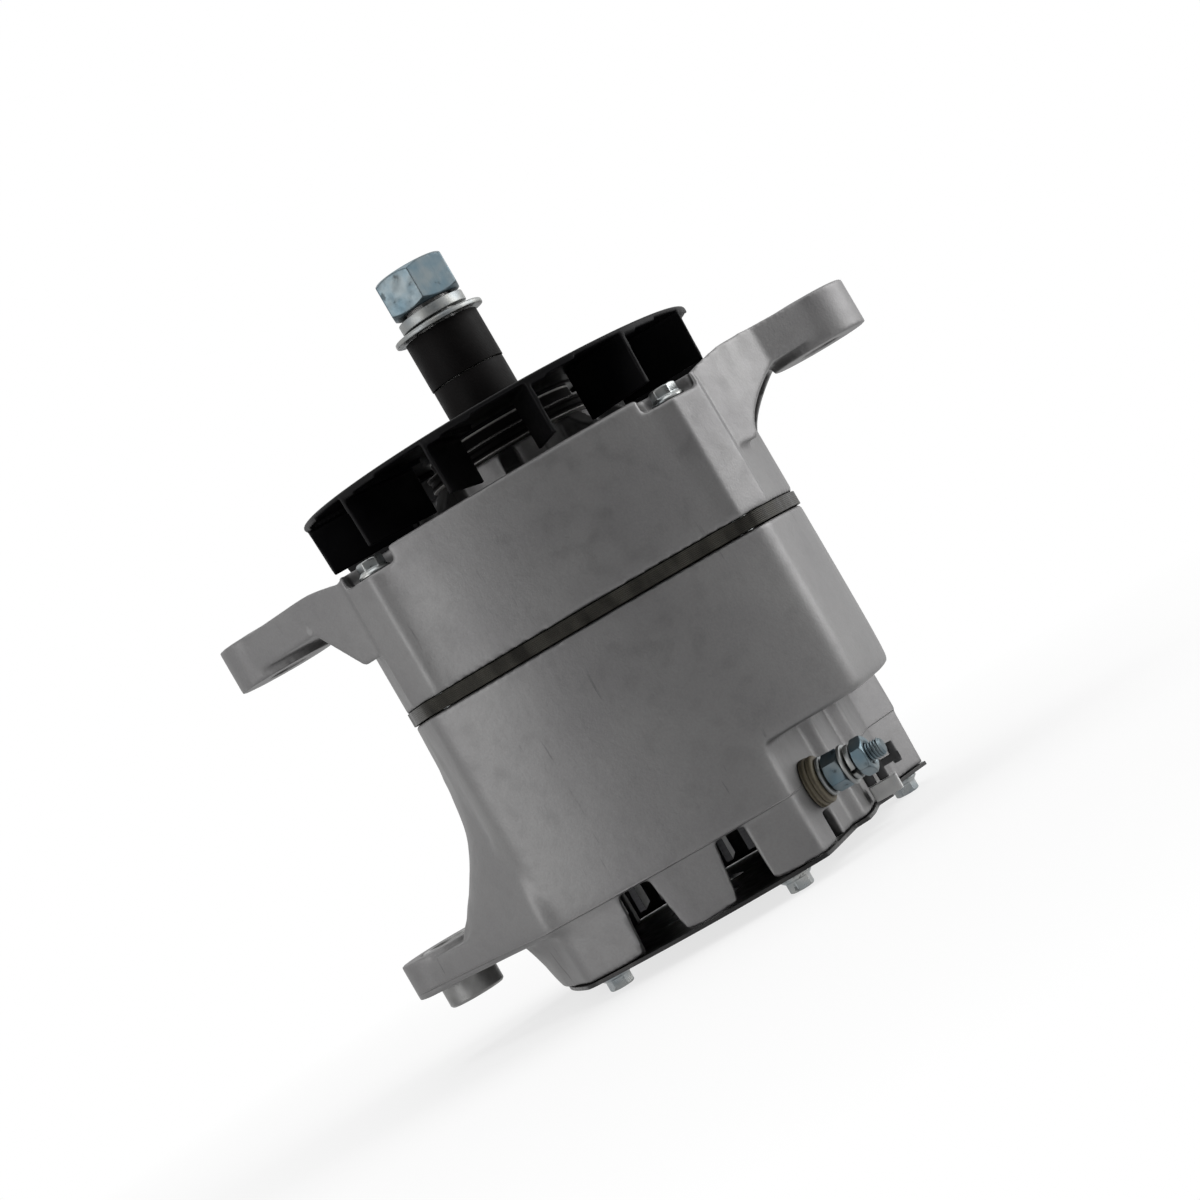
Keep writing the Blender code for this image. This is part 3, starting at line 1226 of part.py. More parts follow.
def rear_pole_claw(finishes):
    """Ring-shaped pole piece that the still coil support passes through."""
    top = REAR_POLE_BOTTOM + REAR_POLE_THICKNESS
    pole = tube("rear_pole_claw", REAR_POLE_BORE, POLE_VALLEY_RADIUS, REAR_POLE_BOTTOM, top,
                MEDIUM_STEPS)
    tip = FRONT_POLE_BOTTOM + FRONT_POLE_THICKNESS - CLAW_END_MARGIN
    add_claws(pole, REAR_POLE_BOTTOM, top, tip, math.pi / CLAW_COUNT)
    return finish(pole, finishes["steel"])


def claw_ring(finishes):
    """Non-magnetic ring under the claws that holds the rear pole to the front one."""
    root = FRONT_POLE_BOTTOM
    tip = REAR_POLE_BOTTOM + CLAW_END_MARGIN
    middle = (REAR_POLE_BOTTOM + FRONT_POLE_BOTTOM + FRONT_POLE_THICKNESS) / 2
    top = middle + CLAW_RING_HEIGHT / 2
    outer = claw_inner_radius(top, root, tip) - SEAT_GAP
    ring = tube("claw_ring", outer - CLAW_RING_THICKNESS, outer, top - CLAW_RING_HEIGHT, top,
                LARGE_STEPS)
    return finish(ring, finishes["brass"])


def fan_plane():
    """Level of the fan hub's rear face."""
    return FAN_FACE - FAN_HUB_THICKNESS


def rear_spacer_bottom():
    return FAN_FACE - FAN_RECESS_DEPTH + SEAT_GAP


def front_spacer_bottom():
    return rear_spacer_bottom() + REAR_SPACER_LENGTH + SEAT_GAP


def flat_washer_bottom():
    return front_spacer_bottom() + FRONT_SPACER_LENGTH + SEAT_GAP


def lock_washer_bottom():
    return flat_washer_bottom() + FLAT_WASHER_THICKNESS + SEAT_GAP


def nut_bottom():
    return lock_washer_bottom() + LOCK_WASHER_THICKNESS + LOCK_WASHER_RISE + SEAT_GAP


def rotor_shaft(finishes):
    rear = SHAFT_REAR_END
    rear_step = REAR_BEARING_BOTTOM + REAR_BEARING_WIDTH + SEAT_GAP
    core_step = FRONT_POLE_BOTTOM - RUNNING_GAP
    bearing_step = FRONT_BEARING_BOTTOM - SEAT_GAP
    pulley_step = FRONT_BEARING_BOTTOM + FRONT_BEARING_WIDTH
    thread_step = flat_washer_bottom() - RUNNING_GAP
    end = nut_bottom() + NUT_HEIGHT - RUNNING_GAP
    shaft = turned("rotor_shaft", [
        (0, rear), (REAR_JOURNAL_RADIUS - SHAFT_CHAMFER, rear), (REAR_JOURNAL_RADIUS, rear + SHAFT_CHAMFER),
        (REAR_JOURNAL_RADIUS, rear_step), (SHAFT_RADIUS, rear_step), (SHAFT_RADIUS, core_step),
        (CORE_SEAT_RADIUS, core_step), (CORE_SEAT_RADIUS, bearing_step),
        (FRONT_JOURNAL_RADIUS, bearing_step), (FRONT_JOURNAL_RADIUS, pulley_step),
        (PULLEY_SEAT_RADIUS, pulley_step),
        (PULLEY_SEAT_RADIUS, thread_step), (THREAD_RADIUS, thread_step),
        (THREAD_RADIUS, end - SHAFT_CHAMFER), (THREAD_RADIUS - SHAFT_CHAMFER, end), (0, end)], MEDIUM_STEPS)
    return finish(shaft, finishes["steel"])


def hub_spacer(finishes):
    """Flanged distance piece between the front bearing and the fan, with a dust slinger."""
    bore = PULLEY_SEAT_RADIUS + SEAT_GAP
    bottom = FRONT_BEARING_BOTTOM + FRONT_BEARING_WIDTH + SEAT_GAP
    top = fan_plane() - SEAT_GAP
    step = top - HUB_SPACER_STEP
    slinger = step - HUB_SLINGER_THICKNESS
    spacer = turned("fan_hub_spacer", [
        (bore, bottom), (HUB_SPACER_NECK_RADIUS, bottom), (HUB_SPACER_NECK_RADIUS, slinger),
        (HUB_SLINGER_RADIUS, slinger), (HUB_SLINGER_RADIUS, step), (HUB_SPACER_RADIUS, step),
        (HUB_SPACER_RADIUS, top), (bore, top)], MEDIUM_STEPS)
    return finish(spacer, finishes["char"])


def fan_blade(angle):
    """Radial blade with the foot that is welded to the disc."""
    ceiling = FAN_FACE - FAN_SHEET
    weld = ceiling + FAN_SHEET / 2
    tip = BLADE_OUTER_RADIUS - BLADE_TIP_TAPER
    profile = [(BLADE_INNER_RADIUS, BLADE_BOTTOM), (tip, BLADE_BOTTOM), (BLADE_OUTER_RADIUS, weld),
               (BLADE_INNER_RADIUS, weld)]
    blade = side_prism("blade", profile, -BLADE_THICKNESS / 2, BLADE_THICKNESS / 2)
    foot_profile = [(BLADE_INNER_RADIUS, ceiling - BLADE_THICKNESS), (tip, ceiling - BLADE_THICKNESS),
                    (tip, weld), (BLADE_INNER_RADIUS, weld)]
    join(blade, side_prism("foot", foot_profile, 0, BLADE_FOOT_WIDTH))
    blade.data.transform(Matrix.Rotation(angle, 4, "Z"))
    return blade


def cooling_fan(finishes):
    """Pressed fan: disc with a spacer recess, radial blades and a lip beside each blade."""
    bore = PULLEY_SEAT_RADIUS + SEAT_GAP
    low = fan_plane()
    sheet = FAN_FACE - FAN_SHEET
    edge = FAN_SHEET / 3
    recess = REAR_SPACER_RADIUS + FAN_RECESS_CLEARANCE
    floor = FAN_FACE - FAN_RECESS_DEPTH
    fan = turned("cooling_fan", [
        (bore, low), (FAN_HUB_RADIUS, low), (FAN_HUB_RADIUS + edge, sheet), (FAN_RADIUS - edge, sheet),
        (FAN_RADIUS, sheet + edge), (FAN_RADIUS, FAN_FACE - edge), (FAN_RADIUS - edge, FAN_FACE),
        (recess, FAN_FACE), (recess, floor), (bore, floor)], LARGE_STEPS)
    for index in range(FAN_BLADES):
        angle = BLADE_FIRST_ANGLE + index * math.tau / FAN_BLADES
        join(fan, fan_blade(angle))
        lip = sector(FAN_RADIUS - BLADE_THICKNESS, FAN_RADIUS - edge / 2, angle + LIP_ANGLE / 2,
                     LIP_ANGLE / 2)
        join(fan, prism("lip", lip, sheet - LIP_DEPTH + FAN_SHEET, sheet + edge))
    return finish(fan, finishes["black"])


def pulley_spacers(finishes):
    bore = PULLEY_SEAT_RADIUS + SEAT_GAP
    rear = rear_spacer_bottom()
    front = front_spacer_bottom()
    rear_piece = tube("rear_pulley_spacer", bore, REAR_SPACER_RADIUS, rear, rear + REAR_SPACER_LENGTH,
                      MEDIUM_STEPS, SHAFT_CHAMFER / 2)
    front_piece = tube("front_pulley_spacer", bore, FRONT_SPACER_RADIUS, front, front + FRONT_SPACER_LENGTH,
                       MEDIUM_STEPS, SHAFT_CHAMFER / 2)
    finish(rear_piece, finishes["char"])
    finish(front_piece, finishes["char"])


def shaft_fasteners(finishes):
    bore = THREAD_RADIUS + SEAT_GAP
    low = flat_washer_bottom()
    washer = tube("shaft_flat_washer", bore, FLAT_WASHER_RADIUS, low, low + FLAT_WASHER_THICKNESS,
                  MEDIUM_STEPS, SHAFT_CHAMFER / 2)
    finish(washer, finishes["zinc"])
    lock = split_ring("shaft_lock_washer", bore, LOCK_WASHER_RADIUS, LOCK_WASHER_THICKNESS,
                      LOCK_WASHER_RISE, LOCK_WASHER_SLIT)
    lock.location = (0, 0, lock_washer_bottom())
    finish(lock, finishes["zinc"])
    nut = hex_head("shaft_nut", NUT_FLATS, 0, NUT_HEIGHT, NUT_CHAMFER, LARGE_STEPS)
    cut_hole(nut, 0, 0, bore, -CUT_OVERRUN, NUT_HEIGHT + CUT_OVERRUN, MEDIUM_STEPS)
    nut.location = (0, 0, nut_bottom())
    nut.rotation_euler = (0, 0, NUT_TURN)
    finish(nut, finishes["zinc"])
    return [washer, lock, nut]


# Bearings

def ball_groove(side):
    """Groove points seen from a race: side is -1 for the inner race, 1 for the outer."""
    radius = BALL_RADIUS + SEAT_GAP
    pitch = (FRONT_JOURNAL_RADIUS + FRONT_BEARING_OUTER) / 2
    middle = FRONT_BEARING_BOTTOM + FRONT_BEARING_WIDTH / 2
    reach = math.acos(RACE_SHOULDER / radius)
    points = []
    for step in range(FILLET_STEPS + 3):
        angle = reach * (2 * step / (FILLET_STEPS + 2) - 1)
        points.append((pitch + side * radius * math.cos(angle), middle + radius * math.sin(angle)))
    return points


def front_bearing(finishes):
    low = FRONT_BEARING_BOTTOM
    top = low + FRONT_BEARING_WIDTH
    pitch = (FRONT_JOURNAL_RADIUS + FRONT_BEARING_OUTER) / 2
    bore = FRONT_JOURNAL_RADIUS + SEAT_GAP
    inner_land = pitch - RACE_SHOULDER
    outer_land = pitch + RACE_SHOULDER
    inner = turned("front_bearing_inner_race", [(bore, low), (inner_land, low)] + ball_groove(-1)
                   + [(inner_land, top), (bore, top)], MEDIUM_STEPS)
    outer = turned("front_bearing_outer_race", [(outer_land, low), (FRONT_BEARING_OUTER, low),
                   (FRONT_BEARING_OUTER, top), (outer_land, top)] + ball_groove(1)[::-1], MEDIUM_STEPS)
    middle = (low + top) / 2
    cage = tube("front_bearing_balls", pitch - CAGE_THICKNESS / 2, pitch + CAGE_THICKNESS / 2,
                middle - CAGE_THICKNESS, middle + CAGE_THICKNESS, MEDIUM_STEPS)
    for index in range(BALL_COUNT):
        bm = bmesh.new()
        bmesh.ops.create_icosphere(bm, subdivisions=2, radius=BALL_RADIUS)
        x, y = ring_point(pitch, index * math.tau / BALL_COUNT)
        bmesh.ops.translate(bm, verts=bm.verts, vec=(x, y, middle))
        join(cage, new_object("ball", bm))
    for piece in (inner, outer, cage):
        finish(piece, finishes["steel"])
    return inner, cage


def rear_bearing(finishes):
    low = REAR_BEARING_BOTTOM
    top = low + REAR_BEARING_WIDTH
    pitch = (REAR_JOURNAL_RADIUS + REAR_BEARING_OUTER) / 2
    track = ROLLER_RADIUS + SEAT_GAP
    inner = tube("rear_bearing_inner_race", REAR_JOURNAL_RADIUS + SEAT_GAP, pitch - track, low, top,
                 MEDIUM_STEPS)
    outer = tube("rear_bearing_outer_race", pitch + track, REAR_BEARING_OUTER, low, top, MEDIUM_STEPS)
    middle = (low + top) / 2
    cage_half = ROLLER_LENGTH / 2 + RACE_EDGE
    cage = tube("rear_bearing_rollers", pitch - CAGE_THICKNESS / 2, pitch + CAGE_THICKNESS / 2,
                middle - cage_half, middle + cage_half, MEDIUM_STEPS)
    for index in range(ROLLER_COUNT):
        x, y = ring_point(pitch, index * math.tau / ROLLER_COUNT)
        roller = circle(ROLLER_RADIUS, SMALL_STEPS, x, y)
        join(cage, prism("roller", roller, middle - ROLLER_LENGTH / 2, middle + ROLLER_LENGTH / 2))
    for piece in (inner, outer, cage):
        finish(piece, finishes["steel"])
    return inner, cage


def bearing_retainer(finishes):
    top = FRONT_BEARING_BOTTOM - SEAT_GAP
    low = top - RETAINER_THICKNESS
    plate = tube("bearing_retainer", RETAINER_BORE, RETAINER_RADIUS, low, top, MEDIUM_STEPS)
    for x, y in inner_screw_places(RETAINER_SCREW_CIRCLE):
        cut_hole(plate, x, y, INNER_SCREW_RADIUS + SEAT_GAP, low - CUT_OVERRUN, top + CUT_OVERRUN)
    finish(plate, finishes["zinc"])
    for index, place in enumerate(inner_screw_places(RETAINER_SCREW_CIRCLE)):
        inner_screw("retainer_screw_%d" % (index + 1), place, low - SEAT_GAP, True, finishes)


# Field coil

def coil_support(finishes):
    """Still core of the field coil: flange on the rear wall, barrel, pole ring and tube."""
    low = REAR_WALL_BOTTOM + REAR_WALL_THICKNESS + COIL_PAD_HEIGHT + SEAT_GAP
    flange_top = low + SUPPORT_FLANGE_THICKNESS
    pole_top = SUPPORT_POLE_BOTTOM + SUPPORT_POLE_THICKNESS
    top = FRONT_POLE_BOTTOM - RUNNING_GAP
    support = turned("field_coil_support", [
        (SUPPORT_BORE, low), (SUPPORT_FLANGE_RADIUS, low), (SUPPORT_FLANGE_RADIUS, flange_top),
        (SUPPORT_BARREL_RADIUS, flange_top), (SUPPORT_BARREL_RADIUS, SUPPORT_POLE_BOTTOM),
        (SUPPORT_POLE_RADIUS, SUPPORT_POLE_BOTTOM), (SUPPORT_POLE_RADIUS, pole_top),
        (SUPPORT_TUBE_RADIUS, pole_top), (SUPPORT_TUBE_RADIUS, top), (SUPPORT_BORE, top)], MEDIUM_STEPS)
    for x, y in inner_screw_places(SUPPORT_SCREW_CIRCLE):
        cut_hole(support, x, y, INNER_SCREW_RADIUS + SEAT_GAP, low - CUT_OVERRUN, flange_top + CUT_OVERRUN)
    finish(support, finishes["steel"])
    for index, place in enumerate(inner_screw_places(SUPPORT_SCREW_CIRCLE)):
        inner_screw("coil_support_screw_%d" % (index + 1), place, flange_top + SEAT_GAP, False, finishes)


def field_coil(finishes):
    low = SUPPORT_POLE_BOTTOM + SUPPORT_POLE_THICKNESS + SEAT_GAP
    top = FRONT_POLE_BOTTOM - RUNNING_GAP - SEAT_GAP
    coil = tube("field_coil", SUPPORT_TUBE_RADIUS + SEAT_GAP, COIL_RADIUS, low, top, MEDIUM_STEPS,
                COIL_ROUND)
    return finish(coil, finishes["copper"])


# Output terminal

def output_terminal(finishes):
    """Stud through the pocket wall with its insulator, washers and two nuts."""
    axis = bpy.data.objects.new("output_terminal_axis", None)
    bpy.context.collection.objects.link(axis)
    axis.matrix_world = terminal_matrix()
    bore = STUD_RADIUS + SEAT_GAP
    level = SEAT_GAP
    pieces = [terminal_stud()]
    insulator = tube("output_insulator", bore, INSULATOR_RADIUS, level, level + INSULATOR_THICKNESS,
                     MEDIUM_STEPS, TERMINAL_NUT_CHAMFER)
    finish(insulator, finishes["insulator"])
    level += INSULATOR_THICKNESS + SEAT_GAP
    inner_washer = tube("output_inner_washer", bore, TERMINAL_WASHER_RADIUS, level,
                        level + TERMINAL_WASHER_THICKNESS, SMALL_STEPS)
    level += TERMINAL_WASHER_THICKNESS + SEAT_GAP
    inner_nut = terminal_nut("output_inner_nut", level, INNER_NUT_HEIGHT, bore)
    level += INNER_NUT_HEIGHT + SEAT_GAP
    outer_washer = tube("output_outer_washer", bore, TERMINAL_WASHER_RADIUS, level,
                        level + TERMINAL_WASHER_THICKNESS, SMALL_STEPS)
    level += TERMINAL_WASHER_THICKNESS + SEAT_GAP
    spring = split_ring("output_lock_washer", bore, SPRING_WASHER_RADIUS, SPRING_WASHER_THICKNESS,
                        SPRING_WASHER_RISE, LOCK_WASHER_SLIT)
    spring.data.transform(Matrix.Translation((0, 0, level)))
    level += SPRING_WASHER_THICKNESS + SPRING_WASHER_RISE + SEAT_GAP
    outer_nut = terminal_nut("output_outer_nut", level, OUTER_NUT_HEIGHT, bore)
    pieces += [inner_washer, inner_nut, outer_washer, spring, outer_nut]
    for piece in pieces:
        finish(piece, finishes["zinc"])
    for piece in pieces + [insulator]:
        piece.parent = axis


def terminal_stud():
    head_top = -POCKET_WALL - SEAT_GAP
    stud = turned("output_stud", [
        (0, head_top - CUT_OVERRUN), (STUD_RADIUS, head_top - CUT_OVERRUN),
        (STUD_RADIUS, STUD_LENGTH - SHAFT_CHAMFER), (STUD_RADIUS - SHAFT_CHAMFER, STUD_LENGTH),
        (0, STUD_LENGTH)], SMALL_STEPS)
    join(stud, prism("head", hexagon(STUD_HEAD_FLATS), head_top - STUD_HEAD_HEIGHT, head_top))
    return stud


def terminal_nut(name, level, height, bore):
    nut = hex_head(name, TERMINAL_NUT_FLATS, level, level + height, TERMINAL_NUT_CHAMFER)
    cut_hole(nut, 0, 0, bore, level - CUT_OVERRUN, level + height + CUT_OVERRUN)
    return nut


# Relay terminal

def relay_terminal(finishes):
    """Pale base on the pocket wall that carries a black two-lobed terminal with an arm."""
    wall = POCKET_PATH[4][0] + SEAT_GAP
    centre_y = BODY_HALF_WIDTH * RELAY_CENTRE_SHARE
    middle_x = wall + RELAY_BASE_LENGTH / 2
    base_top = RELAY_BASE_BOTTOM + RELAY_BASE_HEIGHT
    base = block("relay_terminal_base", (middle_x, centre_y), RELAY_BASE_LENGTH, RELAY_BASE_WIDTH,
                 RELAY_BASE_BOTTOM, base_top, RELAY_LUMP_GAP)
    finish(base, finishes["pale"])
    low = base_top + SEAT_GAP
    lump_y = centre_y - RELAY_BASE_WIDTH / 4
    first_x = wall + RELAY_LUMP_WIDTH / 2
    second_x = first_x + RELAY_LUMP_WIDTH + RELAY_LUMP_GAP
    top = low + RELAY_LUMP_HEIGHT
    terminal = block("relay_terminal", (first_x, lump_y), RELAY_LUMP_WIDTH, RELAY_LUMP_WIDTH, low, top,
                     RELAY_LUMP_GAP)
    join(terminal, block("lump", (second_x, lump_y), RELAY_LUMP_WIDTH, RELAY_LUMP_WIDTH, low, top,
                         RELAY_LUMP_GAP))
    end = second_x + RELAY_ARM_LENGTH + RELAY_HORN_WIDTH
    span = end - first_x
    join(terminal, block("arm", (first_x + span / 2, lump_y), span, RELAY_LUMP_WIDTH * RELAY_ARM_SHARE,
                         top - RELAY_ARM_HEIGHT, top - RELAY_LUMP_GAP / 2))
    horn_x = end - RELAY_HORN_WIDTH / 2
    arm_low = top - RELAY_ARM_HEIGHT
    join(terminal, block("horn", (horn_x, lump_y), RELAY_HORN_WIDTH, RELAY_HORN_WIDTH,
                         arm_low - RELAY_LUMP_GAP, arm_low + RELAY_HORN_HEIGHT, RELAY_LUMP_GAP))
    return finish(terminal, finishes["plastic"])


# Electrical pieces behind the rear wall

def rectifier_heat_sink(finishes):
    """Finned block that carries the diodes."""
    top = REAR_WALL_BOTTOM - SEAT_GAP
    base = top - SINK_BASE_HEIGHT
    sink = block("rectifier_heat_sink", SINK_CENTRE, SINK_LENGTH, SINK_WIDTH, base, top,
                 SINK_FIN_THICKNESS)
    pitch = (SINK_LENGTH - SINK_FIN_THICKNESS) / (SINK_FIN_COUNT - 1)
    for fin in range(SINK_FIN_COUNT):
        x = SINK_CENTRE[0] - (SINK_LENGTH - SINK_FIN_THICKNESS) / 2 + fin * pitch
        join(sink, block("fin", (x, SINK_CENTRE[1]), SINK_FIN_THICKNESS, SINK_WIDTH - SINK_FIN_THICKNESS,
                         SINK_FIN_BOTTOM, base + SINK_BASE_HEIGHT / 2))
    return finish(sink, finishes["steel"])


def voltage_regulator(finishes):
    top = REAR_WALL_BOTTOM - SEAT_GAP
    low = top - REGULATOR_HEIGHT
    case = block("voltage_regulator", REGULATOR_CENTRE, REGULATOR_LENGTH, REGULATOR_WIDTH, low, top,
                 REGULATOR_ROUND)
    length = REGULATOR_LENGTH - REGULATOR_LID_STEP * 2
    width = REGULATOR_WIDTH - REGULATOR_LID_STEP * 2
    join(case, block("lid", REGULATOR_CENTRE, length, width, low - REGULATOR_LID_STEP,
                     low + REGULATOR_LID_STEP, REGULATOR_ROUND))
    return finish(case, finishes["plastic"])


def filter_capacitor(finishes):
    """Round can that lies against the rear wall."""
    length = CAPACITOR_LENGTH
    body = CAPACITOR_RADIUS - CAPACITOR_RIM
    can = turned("filter_capacitor", [
        (0, 0), (body, 0), (CAPACITOR_RADIUS, CAPACITOR_RIM), (CAPACITOR_RADIUS, length - CAPACITOR_RIM),
        (body, length), (CAPACITOR_RADIUS / 3, length), (CAPACITOR_RADIUS / 3, length + 2 * CAPACITOR_RIM),
        (0, length + 2 * CAPACITOR_RIM)], SMALL_STEPS)
    can.rotation_euler = (math.pi / 2, 0, 0)
    x, y = CAPACITOR_CENTRE
    can.location = (x, y + length / 2, REAR_WALL_BOTTOM - SEAT_GAP - CAPACITOR_RADIUS)
    return finish(can, finishes["steel"])


def diode_trio(finishes):
    top = REAR_WALL_BOTTOM - SEAT_GAP
    low = top - TRIO_HEIGHT
    trio = block("diode_trio", TRIO_CENTRE, TRIO_LENGTH, TRIO_WIDTH, low, top, TRIO_TAB_RADIUS / 2)
    for side in (-1, 0, 1):
        x = TRIO_CENTRE[0] + side * TRIO_LENGTH / 3
        join(trio, prism("button", circle(TRIO_TAB_RADIUS, SMALL_STEPS, x, TRIO_CENTRE[1]),
                         low - TRIO_TAB_RADIUS, low + TRIO_TAB_RADIUS))
    return finish(trio, finishes["plastic"])


def slide_bushing(finishes):
    """Steel bushing that slides in the rear foot to take up the bracket's width."""
    length = FOOT_BOSS_FACE - BUSHING_REAR
    bushing = tube("foot_slide_bushing", BUSHING_BORE, BUSHING_RADIUS, 0, length, MEDIUM_STEPS,
                   BUSHING_CHAMFER)
    bushing.location = (-HINGE_REACH, 0, BUSHING_REAR)
    return finish(bushing, finishes["steel"])


# Assembly

def spin_on_axis(pieces, name, height):
    """Hang turning pieces on an empty that lies on their axis."""
    axis = bpy.data.objects.new(name, None)
    axis.location = (0, 0, height)
    bpy.context.collection.objects.link(axis)
    bpy.context.view_layer.update()
    for piece in pieces:
        piece.parent = axis
        piece.matrix_parent_inverse = axis.matrix_world.inverted()


def build():
    clear_scene()
    finishes = make_finishes()
    rear_housing(finishes)
    front_housing(finishes)
    rear_cover(finishes)
    cover_screws(finishes)
    through_bolts(finishes)
    stator_core(finishes)
    stator_winding(finishes)
    coil_support(finishes)
    field_coil(finishes)
    bearing_retainer(finishes)
    front_inner, front_cage = front_bearing(finishes)
    rear_inner, rear_cage = rear_bearing(finishes)
    turning = [rotor_shaft(finishes), front_pole_claw(finishes), rear_pole_claw(finishes),
               claw_ring(finishes), hub_spacer(finishes), cooling_fan(finishes), front_inner, rear_inner]
    pulley_spacers(finishes)
    turning += [bpy.data.objects["rear_pulley_spacer"], bpy.data.objects["front_pulley_spacer"]]
    turning += shaft_fasteners(finishes)
    spin_on_axis(turning, "rotor_axis", FRONT_BEARING_BOTTOM)
    spin_on_axis([front_cage], "front_cage_axis", FRONT_BEARING_BOTTOM)
    spin_on_axis([rear_cage], "rear_cage_axis", REAR_BEARING_BOTTOM)
    slide_bushing(finishes)
    output_terminal(finishes)
    relay_terminal(finishes)
    rectifier_heat_sink(finishes)
    voltage_regulator(finishes)
    filter_capacitor(finishes)
    diode_trio(finishes)


build()
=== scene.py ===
# %% [markdown]
# An engine alternator stands on a pale floor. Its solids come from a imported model, which is loaded first and
# stays as it is: this file only gives it finishes, and puts finely shaped pieces where the solids are plain.

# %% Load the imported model
import json
import math

import bpy
from mathutils import Matrix, Vector

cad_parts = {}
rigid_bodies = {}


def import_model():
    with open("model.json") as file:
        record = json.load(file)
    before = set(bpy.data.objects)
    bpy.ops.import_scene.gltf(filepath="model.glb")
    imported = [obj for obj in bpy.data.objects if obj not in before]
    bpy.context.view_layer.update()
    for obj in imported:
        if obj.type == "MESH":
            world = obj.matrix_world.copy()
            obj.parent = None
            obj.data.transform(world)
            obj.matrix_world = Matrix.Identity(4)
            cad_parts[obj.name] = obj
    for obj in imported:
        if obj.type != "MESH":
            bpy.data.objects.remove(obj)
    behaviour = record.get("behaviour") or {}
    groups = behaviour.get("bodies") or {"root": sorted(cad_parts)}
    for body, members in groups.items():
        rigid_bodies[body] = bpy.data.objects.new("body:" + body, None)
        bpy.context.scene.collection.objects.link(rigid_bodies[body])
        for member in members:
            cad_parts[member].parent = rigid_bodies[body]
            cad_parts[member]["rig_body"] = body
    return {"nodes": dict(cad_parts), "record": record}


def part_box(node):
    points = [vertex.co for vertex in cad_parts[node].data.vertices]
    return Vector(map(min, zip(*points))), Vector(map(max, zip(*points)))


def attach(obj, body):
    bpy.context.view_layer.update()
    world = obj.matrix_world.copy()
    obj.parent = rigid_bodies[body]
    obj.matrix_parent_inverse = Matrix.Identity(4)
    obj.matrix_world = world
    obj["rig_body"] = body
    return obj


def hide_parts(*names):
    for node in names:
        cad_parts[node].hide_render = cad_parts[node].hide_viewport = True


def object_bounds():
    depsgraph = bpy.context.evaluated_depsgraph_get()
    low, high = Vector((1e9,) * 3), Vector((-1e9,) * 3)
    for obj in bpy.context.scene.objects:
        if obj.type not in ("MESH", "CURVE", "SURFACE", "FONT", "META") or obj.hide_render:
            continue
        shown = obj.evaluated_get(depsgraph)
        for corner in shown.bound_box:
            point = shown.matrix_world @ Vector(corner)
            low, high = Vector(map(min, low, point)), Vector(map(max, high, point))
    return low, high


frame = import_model()
solid_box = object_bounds()
millimetre = 0.001

# %% [markdown]
# The product was photographed lying at a slant. Here it stands upright, and the camera is rolled instead, so
# that the shaft leans over in the picture. A long lens from about a metre keeps the perspective low.

# %% Camera
camera_place = Vector((0.0616, -0.9530, 0.0832))
camera_aim = Vector((0.0, 0.0, 0.1017))
camera_roll = math.radians(30.27)
camera_lens = 88.9

forward = (camera_aim - camera_place).normalized()
level_right = forward.cross(Vector((0, 0, 1))).normalized()
level_up = level_right.cross(forward)
right = level_right * math.cos(camera_roll) - level_up * math.sin(camera_roll)
up = level_up * math.cos(camera_roll) + level_right * math.sin(camera_roll)
camera_data = bpy.data.cameras.new("camera")
camera_data.lens = camera_lens
camera_data.clip_start = 0.05
camera = bpy.data.objects.new("camera", camera_data)
camera.matrix_world = Matrix.Translation(camera_place) @ Matrix((right, up, -forward)).transposed().to_4x4()
bpy.context.scene.collection.objects.link(camera)
bpy.context.scene.camera = camera
bpy.context.scene.view_settings.view_transform = "Standard"
print("camera looks at", tuple(round(value, 3) for value in camera_aim))

# %% [markdown]
# A white room stands round the product. Rays that come from the camera, or from a mirror-like surface, see
# it as pure white. Diffuse light from it is weaker, so that a colour renders about as it is written.

# %% World
room_diffuse_strength = 0.30

world = bpy.data.worlds.new("white_room")
world.use_nodes = True
bpy.context.scene.world = world
world_nodes = world.node_tree.nodes
world_links = world.node_tree.links
world_nodes.clear()
light_path = world_nodes.new("ShaderNodeLightPath")
shown = light_path.outputs["Is Camera Ray"]
for kind in ("Is Glossy Ray", "Is Transmission Ray"):
    either = world_nodes.new("ShaderNodeMath")
    either.operation = "MAXIMUM"
    world_links.new(shown, either.inputs[0])
    world_links.new(light_path.outputs[kind], either.inputs[1])
    shown = either.outputs[0]
strength = world_nodes.new("ShaderNodeMapRange")
strength.inputs["To Min"].default_value = room_diffuse_strength
strength.inputs["To Max"].default_value = 1.0
background = world_nodes.new("ShaderNodeBackground")
background.inputs["Color"].default_value = (1, 1, 1, 1)
world_output = world_nodes.new("ShaderNodeOutputWorld")
world_links.new(shown, strength.inputs["Value"])
world_links.new(strength.outputs["Result"], background.inputs["Strength"])
world_links.new(background.outputs["Background"], world_output.inputs["Surface"])

# %% [markdown]
# Metal looks grey only where it mirrors something dark. Two dark cards stand in front of the product, out of
# the camera's sight, as they would in a product studio. Soft lamps on both sides light the flanks. The floor
# is a diffuse white near the product, where it takes the shadow, and glows more with distance, so that it
# runs into the white of the room without a line. Shiny pieces see it as white too.

# %% Floor, cards and lamps
floor_height = solid_box[0].z
floor_size = 6.0
floor_shadow_reach = 0.12
floor_white_reach = 0.45
floor_near_glow = 0.74
card_places = (
    ("front_card", (0.25, -1.35, 0.25), (1.3, 1.5)),
    ("low_card", (0.10, -1.20, -0.04), (1.6, 0.9)),
)
lamp_places = (
    ("left_lamp", (-0.60, -0.50, 0.20), (0.35, 0.7), 2.8),
    ("right_lamp", (0.80, 0.10, 0.30), (0.5, 1.0), 8.0),
    ("top_lamp", (-0.10, 0.10, 1.20), (0.9, 0.9), 4.0),
)


